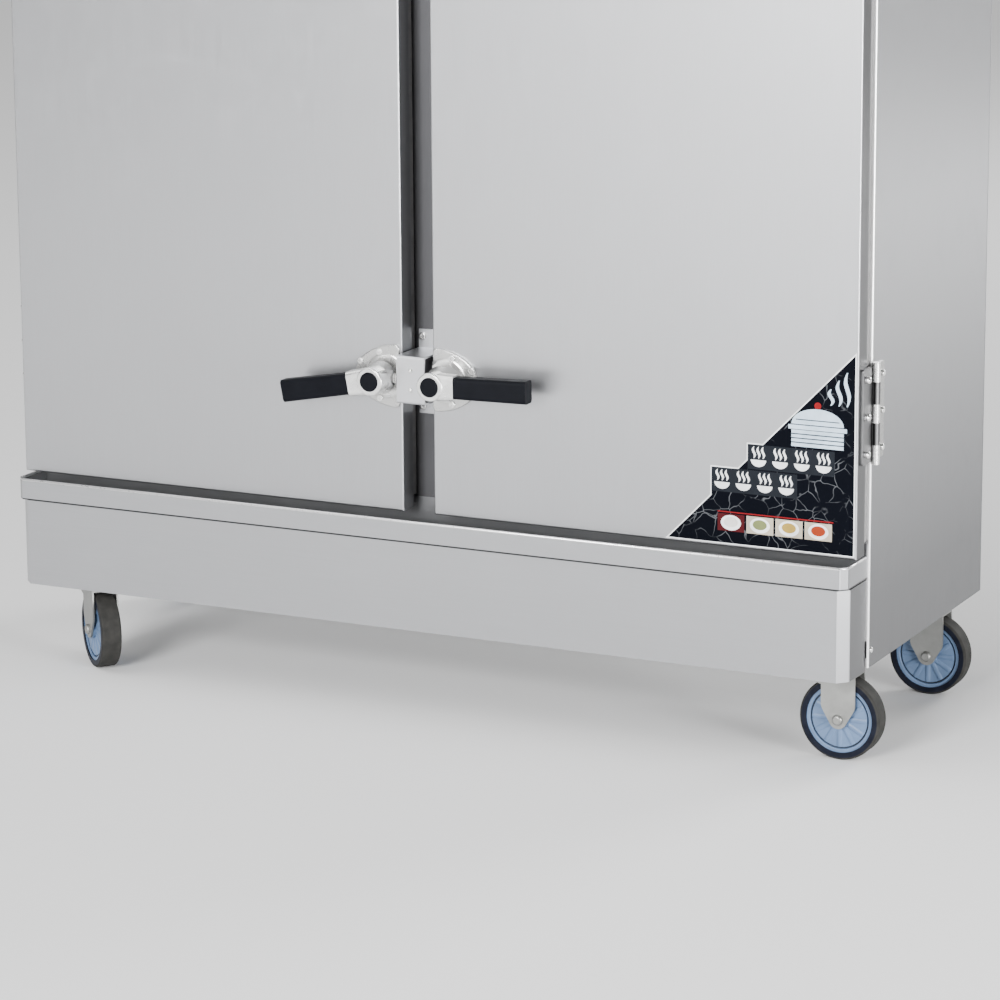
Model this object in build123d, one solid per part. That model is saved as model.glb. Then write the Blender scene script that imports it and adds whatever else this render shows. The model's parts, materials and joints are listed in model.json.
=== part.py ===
from build123d import *
import os

# Double-door steamer cabinet on four swivel casters.
# X runs along the front, Y from front to back and Z up. The origin is on the floor, under the
# middle of the whole cabinet. All lengths are millimetres and all angles degrees.

# Clearances and overrun
fit_gap = 0.1             # radial running clearance of a shaft in its bore
bolt_gap = 0.2            # clearance of a bolt or pipe in its hole
running_gap = 0.4         # air between faces that turn past each other
seal_gap = 0.3            # seal's distance from the frame when the door is shut
cut_over = 2.0            # how far a cutting tool runs past what it cuts

# Case
case_width = 1480.0
case_depth = 520.0
case_bottom = 145.0
case_top = 1600.0
sheet = 1.5
sheet_bend = 3.0
wrap_width = 50.0         # side panel's turned-in front strip, as wide as the wall
back_return = 15.0        # side panel's turned-in rear strip
post_depth = 30.0
post_wall = 2.0
mullion_width = 90.0
sill_top = 360.0
sill_bottom = 240.0
head_overlap = 25.0       # head rail reaches below the doors' top

# Doors
door_gap = 55.0           # air between the two doors
door_side_inset = 1.0     # door edge inside the case's side
door_bottom = 327.0
door_top_gap = 7.0        # between the doors' top and the fascia
door_thickness = 34.0
door_skin = 1.2
door_corner = 2.5
seal_depth = 22.0         # space between a shut door's back and the case front
seal_width = 12.0
seal_side_inset = 4.0
seal_bottom_inset = 17.5
seal_top_inset = 9.0
seal_round = 4.0
plug_inset = 26.0         # raised inner panel inside the door's edge
plug_bottom_inset = 46.0
plug_height = 9.0
plug_taper = 20.0

# Front drip trough and skirt
trough_top = 321.0
trough_seam = 285.5
trough_reach = 33.0       # trough front ahead of the doors
trough_inset = 4.5        # trough end inside the case's side
trough_corner = 10.0
trough_back_top = 340.0
trough_drain_radius = 9.0
trough_drain_length = 26.0
trough_drain_wall = 1.5
trough_drain_inset = 120.0
skirt_bottom = 140.0
skirt_top_gap = 1.8       # shadow line between trough and skirt
skirt_reach = 27.0
skirt_inset = 5.0
skirt_corner = 15.5

# Screws through the side panels into the base frame's height
side_screw_height = 172.0
side_screw_room = 8.0     # behind the case front
side_screw_radius = 4.5
side_screw_head = 3.0
side_screw_shank = 2.4
side_screw_length = 5.5

# Chamber liners, water tanks and racks
liner = 1.2
wall_foam_back = 45.0
ceiling_gap = 6.0
tank_sheet = 1.2
tank_top = 345.0
tank_bottom = 238.0
tank_corner = 12.0
upright_depth = 12.0
upright_width = 24.0
upright_wall = 1.5
upright_end_room = 71.0   # upright's middle from the chamber's front or back
upright_foot_room = 5.0   # above the tank
upright_head_room = 25.0  # below the head rail
rail_shelf = 28.0
rail_flange = 14.0
rail_sheet = 1.5
rail_end_gap = 6.0        # rail's end from the chamber's front or back
rail_first_rise = 85.0    # lowest rail above the tank
rail_top_room = 80.0      # highest rail at least this far below the uprights' top
rail_pitch = 84.0

# Heating elements, three in each tank
element_radius = 6.0
element_count = 3
element_spacing = 180.0
element_bend = 35.0       # half the distance between an element's two legs
element_height = 24.0     # above the tank's bottom
element_front_room = 70.0
element_collar_radius = 11.0
element_collar = 6.0
element_tail = 14.0

# Control fascia above the doors
fascia_height = 103.0
fascia_sheet = 1.5
knob_radius = 23.0
knob_height = 20.0
knob_skirt = 5.0
knob_top_radius = 18.0
knob_ridge = 6.0
knob_shaft_radius = 3.0
knob_shaft_length = 14.0
knob_edge = 1.5

# Latches: distances from the door's face are called depths
latch_height = 546.0
latch_pivot = 53.0        # pivot's distance from the cabinet's middle
base_edge = 30.0          # base plate's straight edge from the cabinet's middle
base_reach = 78.0
base_half_height = 51.0
base_plate = 6.0
base_round = 2.0
base_corner = 7.0
tower_foot_radius = 29.0
tower_head_radius = 22.3
tower_flare = 8.0         # rounding between the neck and the plate
tower_depth = 37.6
tower_back_wall = 9.0     # wall behind the pivot that carries the tower's head
tongue_room_start = 8.0
tongue_room_end = 22.0
tongue_radius = 26.0
tongue_half_width = 7.5
tongue_start = 9.0
tongue_end = 21.0
spindle_radius = 8.0
hub_radius = 22.5
hub_depth = 26.0
hub_round = 2.5
cap_radius = 15.5
cap_proud = 2.1
cap_round = 1.5
cap_seat = 5.0
socket_length = 40.0
socket_height = 39.0
socket_depth = 26.0
socket_round = 6.0
grip_length = 122.5
grip_height = 34.0
grip_end_height = 36.0
grip_depth = 26.0
grip_round = 5.5
grip_core_height = 22.0
grip_core_depth = 14.0
grip_core_short = 8.0     # core ends this far inside the grip's end
arm_slant = 2.0           # degrees, free end towards the door
left_droop = 10.5         # degrees below level
right_droop = -1.0
base_screw_radius = 5.4
base_screw_head = 2.6
base_screw_shank = 2.4
base_screw_length = 12.0
base_screw_outer_x = 98.0
base_screw_inner_x = 64.0
base_screw_outer_z = 20.0
base_screw_inner_z = 37.0
head_crown_share = 0.5    # share of a screw head's height that its rounding takes
socket_radius_share = 0.5 # hexagon socket's corners, as a share of the head's radius
socket_depth_share = 0.6

# Latch keepers on the mullion
keeper_height = 545.5
keeper_half_width = 24.5
keeper_half_height = 38.5
keeper_plate = 3.0
keeper_reach = 24.5       # keeper's face ahead of the doors
keeper_flange = 29.5
keeper_bend = 4.0
keeper_rivet_radius = 3.9
keeper_rivet_dome = 2.6
keeper_rivet_spacing = 31.0
dome_share = 0.9          # share of a rivet's height that its rounding takes
keeper_screw_radius = 6.4
keeper_screw_head = 3.2
keeper_screw_shank = 3.0
keeper_screw_length = 10.0
keeper_screw_x = 17.5
keeper_screw_inset = 18.0

# Hinges at the doors' outer edges
hinge_height = 543.0
hinge_length = 154.0
hinge_barrel_radius = 6.5
hinge_pin_radius = 3.2
hinge_pin_head = 1.2
hinge_leaf = 3.0
hinge_leaf_width = 44.0
hinge_leaf_height = 147.0
door_knuckle = 34.0
knuckle_count = 5
knuckle_gap = 0.3
hinge_bolt_spacing = 57.0
hinge_door_bolt = 35.0    # bolt row's distance from the pin
hinge_case_bolt = 28.0
hinge_bolt_head_radius = 5.2
hinge_bolt_head = 6.5
hinge_bolt_dome = 2.0
hinge_bolt_shank = 3.0
hinge_bolt_length = 14.0

# Base frame
frame_bottom = 157.0
frame_tube_height = 30.0
frame_tube_width = 50.0
frame_wall = 2.5
frame_front_width = 96.0
frame_front_reach = 46.0  # front tube ahead of the case front
bearer_width = 30.0
bearer_back_room = 110.0
bearer_spread = 420.0

# Casters
wheel_radius = 65.0
wheel_width = 34.0
tread_round = 4.0
tyre_inner = 53.5
rim_ring_inner = 47.5
rim_width = 30.0
rim_ring_round = 1.5
rim_groove = 2.5
rim_groove_depth = 4.0
rim_dish = 2.0            # rim's field below its outer ring
rim_hub_radius = 16.0
rim_hub_width = 37.0
rim_petals = 12
petal_radius = 7.0
petal_height = 1.6
petal_end_room = 3.0
axle_radius = 5.0
axle_head_radius = 8.5
axle_head = 5.5
axle_head_dome = 4.0
axle_nut = 5.0
fork_leg = 3.0
fork_inner = 39.0
fork_trail = 52.0
fork_tip_radius = 14.5
fork_shoulder_half = 27.7
fork_shoulder_round = 18.0
fork_shoulder_height = 24.0
fork_flare_height = 54.0
fork_crown_back = 82.0
fork_crown_front = 27.0
fork_crown_bottom = 133.5
fork_crown = 3.5
race_radius = 28.0
race_height = 6.0
race_chamfer = 2.0
kingpin_radius = 6.0
kingpin_nut_radius = 9.0
kingpin_nut = 5.0
plate_length = 100.0
plate_width = 84.0
plate_thickness = 4.0
plate_round = 8.0
plate_bolt_x = 80.0
plate_bolt_y = 60.0
plate_bolt_radius = 4.0
plate_bolt_head = 5.5
plate_bolt_head_radius = 7.0
caster_side_room = 91.0   # swivel inside the case's side
caster_reach = 3.5        # front swivels ahead of the case front
caster_back_room = 127.0  # rear swivels ahead of the case's back
front_right_turn = 0.0
front_left_turn = -42.0
rear_right_turn = 0.0
rear_left_turn = 180.0

# Water feed tank and float on the back
feed_depth = 70.0
feed_width = 180.0
feed_height = 150.0
feed_bottom = 250.0
feed_x = 300.0
feed_wall = 1.5
feed_lid_lip = 10.0
feed_lid = 1.5
feed_nipple_radius = 10.5
feed_nipple_bore = 7.5
feed_nipple_length = 24.0
feed_nipple_drop = 62.0
float_radius = 24.0
float_arm_radius = 2.5
float_arm_length = 78.0
float_pin_radius = 2.5
float_eye_radius = 6.0
float_eye_width = 6.0
valve_body = 16.0
valve_body_length = 26.0
valve_ear = 3.0
valve_ear_gap = 0.4

# Pipes and drain valve
pipe_radius = 11.0
pipe_bore = 9.0
pipe_bend = 22.0
branch_radius = 10.0
branch_bore = 8.0
pipe_height = 203.0
pipe_back_room = 86.0     # manifold's distance ahead of the back panel
pipe_flange_radius = 19.0
pipe_flange = 3.0
drain_body_radius = 19.0
drain_body_length = 34.0
drain_hex = 15.0
drain_hex_length = 8.0
drain_nipple_radius = 13.2
drain_nipple_bore = 10.0
drain_nipple_length = 20.0
drain_stem_radius = 4.0
drain_stem_height = 9.0
drain_lever_width = 14.0
drain_lever_thickness = 3.0
drain_lever_length = 78.0
drain_lever_grip = 44.0
drain_lever_sleeve = 3.0
drain_nut_radius = 6.0
drain_nut = 3.5

# Steam vents through the back
vent_radius = 25.4
vent_wall = 1.5
vent_reach = 48.0
vent_flange_radius = 44.0
vent_flange = 2.0
vent_drop = 90.0          # below the chamber ceiling

# Places worked out from the sizes above
half_width = case_width / 2
fascia_bottom = case_top - fascia_height
door_top = fascia_bottom - door_top_gap
head_bottom = door_top - head_overlap
upright_foot = tank_top + upright_foot_room
upright_head = head_bottom - upright_head_room
rail_first = tank_top + rail_first_rise
rail_count = int((upright_head - rail_top_room - rail_first) / rail_pitch) + 1
hub_start = tower_depth + running_gap
latch_reach = hub_start + hub_depth + cap_proud
door_front = (latch_reach - door_thickness - seal_depth - case_depth - feed_depth) / 2
door_back = door_front + door_thickness
case_front = door_back + seal_depth
case_back = case_front + case_depth
chamber_inner = mullion_width / 2
chamber_outer = half_width - wrap_width
chamber_back = case_back - sheet - wall_foam_back
chamber_middle = (chamber_inner + chamber_outer) / 2
chamber_front = case_front + sheet + post_depth
door_inner_edge = door_gap / 2
chamber_depth = chamber_back - chamber_front
upright_spread = chamber_depth - 2 * upright_end_room
rail_length = chamber_depth - 2 * rail_end_gap
door_outer_edge = half_width - door_side_inset
hinge_x = half_width + hinge_barrel_radius
frame_top = frame_bottom + frame_tube_height
caster_x = half_width - caster_side_room
caster_front = -caster_reach
caster_spread = case_depth + caster_reach - caster_back_room
half_turn = 180.0
sides = {"left": -1, "right": 1}
levels = {"lower": 1, "upper": -1}


def level_height(lower_height, level):
    """Height of a fitting at the lower place, or mirrored about the doors' middle."""
    if level == "lower":
        return lower_height
    return door_bottom + door_top - lower_height


def block(x0, x1, y0, y1, z0, z1):
    """Box given by its two corners."""
    return Pos((x0 + x1) / 2, (y0 + y1) / 2, (z0 + z1) / 2) * Box(abs(x1 - x0), abs(y1 - y0), abs(z1 - z0))


def rod_x(x0, x1, y, z, radius):
    """Cylinder along X."""
    return Pos((x0 + x1) / 2, y, z) * Rot(0, 90, 0) * Cylinder(radius, abs(x1 - x0))


def rod_y(x, y0, y1, z, radius):
    """Cylinder along Y."""
    return Pos(x, (y0 + y1) / 2, z) * Rot(90, 0, 0) * Cylinder(radius, abs(y1 - y0))


def rod_z(x, y, z0, z1, radius):
    """Cylinder along Z."""
    return Pos(x, y, (z0 + z1) / 2) * Cylinder(radius, abs(z1 - z0))


def place_xz(x, y, z):
    """Sketch plane facing the front, so that extruding goes towards the viewer."""
    return Plane(origin=(x, y, z), x_dir=(1, 0, 0), z_dir=(0, -1, 0))


def handed(shape, side):
    """Right-hand shape as built, or its mirror image for the left."""
    if side < 0:
        return mirror(shape, about=Plane.YZ)
    return shape


def hinge_bolt_heights(level):
    """Heights of the three bolts of one hinge leaf."""
    middle = level_height(hinge_height, level)
    return [middle + step * hinge_bolt_spacing for step in (-1, 0, 1)]


def hinge_bolt_holes(y, radius, x0, x1):
    """Cutters for one door's or one panel's hinge bolts."""
    holes = []
    for level in levels:
        for z in hinge_bolt_heights(level):
            holes.append(rod_x(x0, x1, y, z, radius))
    return holes


def side_panel():
    """Right side panel with its front and rear strips, the front one ending at the base frame."""
    depth = case_depth - sheet
    middle_y = case_front + depth / 2
    outline = Pos(half_width - wrap_width / 2, middle_y) * Rectangle(wrap_width, depth)
    outline = fillet(outline.vertices().group_by(Axis.X)[-1], sheet_bend)
    hollow = Pos(half_width - sheet - wrap_width / 2, middle_y) * Rectangle(wrap_width, depth - 2 * sheet)
    hollow = fillet(hollow.vertices().group_by(Axis.X)[-1], sheet_bend - sheet)
    profile = outline - hollow
    short = wrap_width - back_return
    rear_cut = Pos(half_width - wrap_width + short / 2, case_back - sheet - sheet / 2)
    profile = profile - rear_cut * Rectangle(short, 2 * sheet)
    panel = extrude(Pos(0, 0, case_bottom) * profile, case_top - sheet - case_bottom)
    notch = block(half_width - wrap_width - cut_over, half_width - sheet_bend, case_front - cut_over,
                  case_front + sheet, case_bottom - cut_over, frame_top)
    panel = panel - notch
    holes = hinge_bolt_holes(case_front + hinge_case_bolt, hinge_bolt_shank + bolt_gap,
                             half_width - sheet - cut_over, half_width + cut_over)
    screw = rod_x(half_width - sheet - cut_over, half_width + cut_over, case_front + side_screw_room,
                  side_screw_height, side_screw_shank + bolt_gap)
    return panel - holes - screw


def back_panel():
    """Flat back with holes for the vents and the two pipes."""
    panel = block(-half_width, half_width, case_back - sheet, case_back, case_bottom, case_top - sheet)
    cuts = []
    for side in sides.values():
        cuts.append(rod_y(side * chamber_middle, case_back - sheet - cut_over, case_back + cut_over,
                          vent_height(), vent_radius + bolt_gap))
    for x in (0, feed_x):
        cuts.append(rod_y(x, case_back - sheet - cut_over, case_back + cut_over,
                          pipe_height, branch_radius + bolt_gap))
    return panel - cuts


def roof_panel():
    """Roof sheet over case and fascia, its outer edge rounded."""
    roof = block(-half_width, half_width, door_front, case_back, case_top - sheet, case_top)
    edges = roof.edges().filter_by(Axis.Z)
    return fillet(edges, sheet_bend)


def vent_height():
    """Height of the steam vents."""
    return head_bottom - ceiling_gap - vent_drop


def wall_insulation():
    """Foam slabs in the side walls, the middle wall, the back and the roof."""
    low = tank_top
    high = head_bottom - ceiling_gap + liner
    slabs = []
    for side in sides.values():
        wall = block(side * (chamber_outer + liner), side * (half_width - sheet), chamber_front,
                     chamber_back, low, high)
        bolts = hinge_bolt_holes(case_front + hinge_case_bolt, hinge_bolt_shank + bolt_gap,
                                 side * chamber_outer, side * half_width)
        slabs.append(wall - bolts)
    slabs.append(block(liner - chamber_inner, chamber_inner - liner, chamber_front, chamber_back, low, high))
    rear = block(sheet_bend - half_width, half_width - sheet_bend, chamber_back + liner,
                 case_back - 2 * sheet, low, high)
    vents = []
    for side in sides.values():
        vents.append(rod_y(side * chamber_middle, chamber_back, case_back, vent_height(),
                           vent_radius + bolt_gap))
    slabs.append(rear - vents)
    slabs.append(block(sheet_bend - half_width, half_width - sheet_bend, chamber_front,
                       case_back - 2 * sheet, high, case_top - sheet))
    return slabs


def channel(x0, x1, z0, z1, y0, wall, along_x):
    """C-channel with its web at the front and open at the back."""
    body = block(x0, x1, y0, y0 + post_depth, z0, z1)
    y1 = y0 + post_depth + cut_over
    if along_x:
        hollow = block(x0 - cut_over, x1 + cut_over, y0 + wall, y1, z0 + wall, z1 - wall)
    else:
        hollow = block(x0 + wall, x1 - wall, y0 + wall, y1, z0 - cut_over, z1 + cut_over)
    return body - hollow


def front_frame():
    """Two posts behind the side panels' front strips, and the sill and head rails between them."""
    pieces = []
    y_post = case_front + sheet
    for side in sides.values():
        ends = sorted((side * (chamber_outer + liner), side * (half_width - sheet)))
        post = channel(ends[0], ends[1], frame_top, case_top - sheet, y_post, post_wall, False)
        corner = post.edges().filter_by(Axis.Z).group_by(Axis.Y)[0].sort_by(Axis.X)
        post = fillet(corner[-1] if side > 0 else corner[0], sheet_bend - sheet)
        bolts = hinge_bolt_holes(case_front + hinge_case_bolt, hinge_bolt_shank + bolt_gap,
                                 side * (half_width - sheet - post_wall - cut_over), side * half_width)
        pieces.append(post - bolts)
    rail_half = half_width - wrap_width
    pieces.append(channel(-rail_half, rail_half, sill_bottom, sill_top, case_front, post_wall, True))
    pieces.append(channel(-rail_half, rail_half, head_bottom, case_top - sheet, case_front, post_wall, True))
    return pieces


def keeper_screw_places():
    """Height and sideways places of the four screws of each keeper."""
    places = []
    reach = keeper_half_height + keeper_screw_inset
    for level in levels:
        middle = level_height(keeper_height, level)
        for x in (-keeper_screw_x, keeper_screw_x):
            for z in (middle - reach, middle + reach):
                places.append((x, z))
    return places


def mullion():
    """Upright between the two chambers, which carries the keepers."""
    half = mullion_width / 2
    post = channel(-half, half, sill_top, head_bottom, case_front, post_wall, False)
    holes = []
    for x, z in keeper_screw_places():
        holes.append(rod_y(x, case_front - cut_over, case_front + post_wall + cut_over, z,
                           keeper_screw_shank + bolt_gap))
    return post - holes


def chamber_liner(side):
    """Side walls, back and ceiling sheets of one steam chamber."""
    front = case_front + post_wall
    ceiling = head_bottom - ceiling_gap
    walls = []
    for x0, x1 in ((chamber_inner - liner, chamber_inner), (chamber_outer, chamber_outer + liner)):
        walls.append(block(x0, x1, front + post_depth - post_wall, chamber_back, tank_top, ceiling + liner))
    rear = block(chamber_inner - liner, chamber_outer + liner, chamber_back, chamber_back + liner,
                 tank_top, ceiling + liner)
    vent = rod_y(chamber_middle, chamber_back - cut_over, chamber_back + liner + cut_over, vent_height(),
                 vent_radius + bolt_gap)
    walls.append(rear - vent)
    walls.append(block(chamber_inner, chamber_outer, case_front + post_depth, chamber_back,
                       ceiling, ceiling + liner))
    return [handed(wall, side) for wall in walls]


def water_tanks():
    """Two open water pans under the chambers, with the holes for elements and pipe."""
    front = case_front + post_depth
    tank = block(chamber_inner - tank_sheet, chamber_outer + tank_sheet, front, chamber_back + tank_sheet,
                 tank_bottom, tank_top)
    hollow = block(chamber_inner, chamber_outer, front + tank_sheet, chamber_back,
                   tank_bottom + tank_sheet, tank_top + cut_over)
    hollow = fillet(hollow.edges().filter_by(Axis.Z), tank_corner)
    cuts = [hollow]
    z = tank_bottom + element_height
    for x in element_leg_places():
        cuts.append(rod_y(x, chamber_back - cut_over, chamber_back + tank_sheet + cut_over, z,
                          element_radius + bolt_gap))
    pipe_y = case_back - pipe_back_room
    cuts.append(rod_z(chamber_middle, pipe_y, tank_bottom - cut_over, tank_bottom + tank_sheet + cut_over,
                      pipe_bore))
    tank = tank - cuts
    return [handed(tank, side) for side in sides.values()]


def element_leg_places():
    """Sideways places of all element legs in the right tank."""
    places = []
    for index in range(element_count):
        middle = chamber_middle + (index - (element_count - 1) / 2) * element_spacing
        places += [middle - element_bend, middle + element_bend]
    return places


def heating_element(x_left, x_right):
    """One U-shaped tube with its two collars, seated on the tank's back wall."""
    z = tank_bottom + element_height
    start = chamber_back + tank_sheet + element_tail
    turn = case_front + post_depth + element_front_room
    middle = (x_left + x_right) / 2
    path = Line((x_left, start, z), (x_left, turn, z))
    bend = ThreePointArc((x_left, turn, z), (middle, turn - element_bend, z), (x_right, turn, z))
    back = Line((x_right, turn, z), (x_right, start, z))
    route = Wire([path, bend, back])
    section = Plane(origin=(x_left, start, z), z_dir=(0, -1, 0)) * Circle(element_radius)
    tube = sweep(section, path=route)
    for x in (x_left, x_right):
        tube = tube + rod_y(x, chamber_back - element_collar, chamber_back, z, element_collar_radius)
    return tube


def heating_elements():
    """Three elements in each tank."""
    elements = []
    legs = element_leg_places()
    for side in sides.values():
        for index in range(element_count):
            element = heating_element(legs[2 * index], legs[2 * index + 1])
            elements.append(handed(element, side))
    return elements


def rack_walls():
    """Inner face of each rack wall and the way from it into the chamber."""
    return [(chamber_inner, 1), (chamber_outer, -1), (-chamber_inner, -1), (-chamber_outer, 1)]


def rack_upright(x, way, y):
    """Channel upright with its open side against the liner."""
    body = block(x, x + way * upright_depth, y - upright_width / 2, y + upright_width / 2,
                 upright_foot, upright_head)
    hollow = block(x - way * cut_over, x + way * (upright_depth - upright_wall),
                   y - upright_width / 2 + upright_wall, y + upright_width / 2 - upright_wall,
                   upright_foot - cut_over, upright_head + cut_over)
    return body - hollow


def rack_middle():
    """Middle of the racks between the chamber's front and back."""
    return (chamber_front + chamber_back) / 2


def rack_uprights():
    """Two uprights on each chamber wall."""
    pieces = []
    for x, way in rack_walls():
        for step in (-1, 1):
            pieces.append(rack_upright(x, way, rack_middle() + step * upright_spread / 2))
    return pieces


def tray_rail(x, way, z):
    """Angle rail: a shelf for the tray's edge, with its flange turned down along the uprights."""
    start = x + way * upright_depth
    y0 = rack_middle() - rail_length / 2
    y1 = rack_middle() + rail_length / 2
    shelf = block(start, start + way * rail_shelf, y0, y1, z - rail_sheet, z)
    flange = block(start, start + way * rail_sheet, y0, y1, z - rail_flange, z)
    return shelf + flange


def tray_rails():
    """Twelve rails on each of the four chamber walls."""
    rails = []
    for x, way in rack_walls():
        for index in range(rail_count):
            rails.append(tray_rail(x, way, rail_first + index * rail_pitch))
    return rails


def corner_outline(half, front, back, corner):
    """Plan outline with chamfered front corners, from the case front forwards."""
    points = [(-half, back), (-half, front + corner), (corner - half, front),
              (half - corner, front), (half, front + corner), (half, back)]
    return make_face(Polyline(*points, close=True))


def drip_trough():
    """Open trough under the doors with its back flange on the case front and a drain stub."""
    half = half_width - trough_inset
    front = door_front - trough_reach
    outer = corner_outline(half, front, case_front, trough_corner)
    inner = corner_outline(half - sheet, front + sheet, case_front - sheet, trough_corner - sheet / 2)
    body = extrude(Pos(0, 0, trough_seam) * outer, trough_top - trough_seam)
    body = body - extrude(Pos(0, 0, trough_seam + sheet) * inner, trough_top - trough_seam)
    flange = block(-half, half, case_front - sheet, case_front, trough_seam, trough_back_top)
    body = body + flange
    x = half - trough_drain_inset
    y = (front + case_front) / 2
    body = body + rod_z(x, y, trough_seam - trough_drain_length, trough_seam + sheet / 2,
                        trough_drain_radius)
    bore = rod_z(x, y, trough_seam - trough_drain_length - cut_over, trough_seam + sheet + cut_over,
                 trough_drain_radius - trough_drain_wall)
    return body - bore


def skirt_panel():
    """Plain skirt under the trough, open at the back and below."""
    half = half_width - skirt_inset
    front = door_front - skirt_reach
    outer = corner_outline(half, front, case_front, skirt_corner)
    inner = corner_outline(half - sheet, front + sheet, case_front + cut_over, skirt_corner - sheet / 2)
    height = trough_seam - skirt_top_gap - skirt_bottom
    shell = extrude(Pos(0, 0, skirt_bottom) * outer, height)
    return shell - extrude(Pos(0, 0, skirt_bottom - cut_over) * inner, height + 2 * cut_over)


def box_tube(x0, x1, y0, y1, z0, z1, along_x):
    """Rectangular tube along X or along Y."""
    if along_x:
        hollow = block(x0 - cut_over, x1 + cut_over, y0 + frame_wall, y1 - frame_wall,
                       z0 + frame_wall, z1 - frame_wall)
    else:
        hollow = block(x0 + frame_wall, x1 - frame_wall, y0 - cut_over, y1 + cut_over,
                       z0 + frame_wall, z1 - frame_wall)
    return block(x0, x1, y0, y1, z0, z1) - hollow


def base_frame():
    """Welded tubes under the case, which the casters bolt to, and the bearers of the tanks."""
    half = half_width - skirt_inset - 2 * sheet
    front = case_front - frame_front_reach
    back = case_back - 2 * sheet
    inner_front = front + frame_front_width
    inner_back = back - frame_tube_width
    pieces = [box_tube(-half, half, front, inner_front, frame_bottom, frame_top, True),
              box_tube(-half, half, inner_back, back, frame_bottom, frame_top, True)]
    places = [-chamber_middle, 0, chamber_middle]
    for side in sides.values():
        places += [side * caster_x - frame_tube_width / 2, side * caster_x + frame_tube_width / 2]
    for x in places:
        pieces.append(box_tube(x - frame_tube_width / 2, x + frame_tube_width / 2, inner_front,
                               inner_back, frame_bottom, frame_top, False))
    for side in sides.values():
        for step in (-1, 1):
            x = side * chamber_middle + step * bearer_spread / 2
            pieces.append(box_tube(x - bearer_width / 2, x + bearer_width / 2,
                                   case_front + sheet + post_depth, case_back - bearer_back_room,
                                   frame_top, tank_bottom, False))
    return pieces


def fascia_box():
    """Folded box above the doors, open towards the head rail."""
    body = block(-half_width, half_width, door_front, case_front, fascia_bottom, case_top - sheet)
    body = fillet(body.edges().filter_by(Axis.Z).group_by(Axis.Y)[0], sheet_bend)
    hollow = block(fascia_sheet - half_width, half_width - fascia_sheet, door_front + fascia_sheet,
                   case_front + cut_over, fascia_bottom + fascia_sheet, case_top - sheet - fascia_sheet)
    holes = []
    for side in sides.values():
        holes.append(rod_y(side * chamber_middle, door_front - cut_over,
                           door_front + fascia_sheet + cut_over, knob_height_z(),
                           knob_shaft_radius + fit_gap))
    return body - hollow - holes


def knob_height_z():
    """Height of the two control knobs."""
    return (fascia_bottom + case_top - sheet) / 2


def control_knob(side):
    """Turned knob with a pointer ridge and a shaft through the fascia."""
    x = side * chamber_middle
    z = knob_height_z()
    face = door_front - running_gap
    skirt = rod_y(x, face - knob_skirt, face, z, knob_radius)
    skirt = fillet(skirt.edges().group_by(Axis.Y)[0], knob_edge)
    grip = rod_y(x, face - knob_height, face - knob_skirt, z, knob_top_radius)
    ridge = block(x - knob_ridge / 2, x + knob_ridge / 2, face - knob_height - knob_edge, face - knob_skirt,
                  z, z + knob_radius)
    shaft = rod_y(x, face, face + knob_shaft_length, z, knob_shaft_radius)
    return skirt + grip + ridge + shaft


def door_skin_shell():
    """Right door's outer pan, open at the back, with its hinge bolt holes."""
    body = block(door_inner_edge, door_outer_edge, door_front, door_back, door_bottom, door_top)
    body = fillet(body.faces().sort_by(Axis.Y)[0].edges(), door_corner)
    hollow = block(door_inner_edge + door_skin, door_outer_edge - door_skin, door_front + door_skin,
                   door_back + cut_over, door_bottom + door_skin, door_top - door_skin)
    holes = hinge_bolt_holes(case_front - hinge_door_bolt, hinge_bolt_shank + bolt_gap,
                             door_outer_edge - door_skin - cut_over, door_outer_edge + cut_over)
    screws = []
    for x, z in base_screw_places():
        screws.append(rod_y(x, door_front - cut_over, door_front + door_skin + cut_over, z,
                            base_screw_shank + bolt_gap))
    return body - hollow - holes - screws


def base_screw_places():
    """Places of the four screws of each latch base on the right door."""
    places = []
    for level in levels:
        middle = level_height(latch_height, level)
        for x, z in ((base_screw_inner_x, base_screw_inner_z), (base_screw_outer_x, base_screw_outer_z)):
            places += [(x, middle - z), (x, middle + z)]
    return places


def door_core():
    """Foam filling of the right door, cleared round the fixings."""
    core = block(door_inner_edge + door_skin, door_outer_edge - door_skin, door_front + door_skin,
                 door_back - door_skin, door_bottom + door_skin, door_top - door_skin)
    holes = hinge_bolt_holes(case_front - hinge_door_bolt, hinge_bolt_shank + bolt_gap,
                             door_outer_edge - hinge_bolt_length, door_outer_edge)
    screws = []
    for x, z in base_screw_places():
        screws.append(rod_y(x, door_front, door_front + base_screw_length, z, base_screw_shank + bolt_gap))
    return core - holes - screws


def door_inner_panel():
    """Right door's inner panel, pressed out towards the chamber inside the seal."""
    plate = block(door_inner_edge + door_skin, door_outer_edge - door_skin, door_back - door_skin, door_back,
                  door_bottom + door_skin, door_top - door_skin)
    raised = plug_prism(0)
    hollow = plug_prism(door_skin)
    return plate + raised - hollow


def plug_prism(inset):
    """Tapered raised field of the inner panel, or its hollow when inset by the sheet."""
    x0 = door_inner_edge + plug_inset + inset
    x1 = door_outer_edge - plug_inset - wrap_width / 2 - inset
    z0 = door_bottom + plug_bottom_inset + inset
    z1 = door_top - plug_inset - plug_inset / 2 - inset
    start = door_back - door_skin
    top = plug_height + door_skin - inset
    plane = Plane(origin=((x0 + x1) / 2, start, (z0 + z1) / 2), x_dir=(1, 0, 0), z_dir=(0, 1, 0))
    return extrude(plane * Rectangle(x1 - x0, z1 - z0), top, taper=plug_taper)


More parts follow.
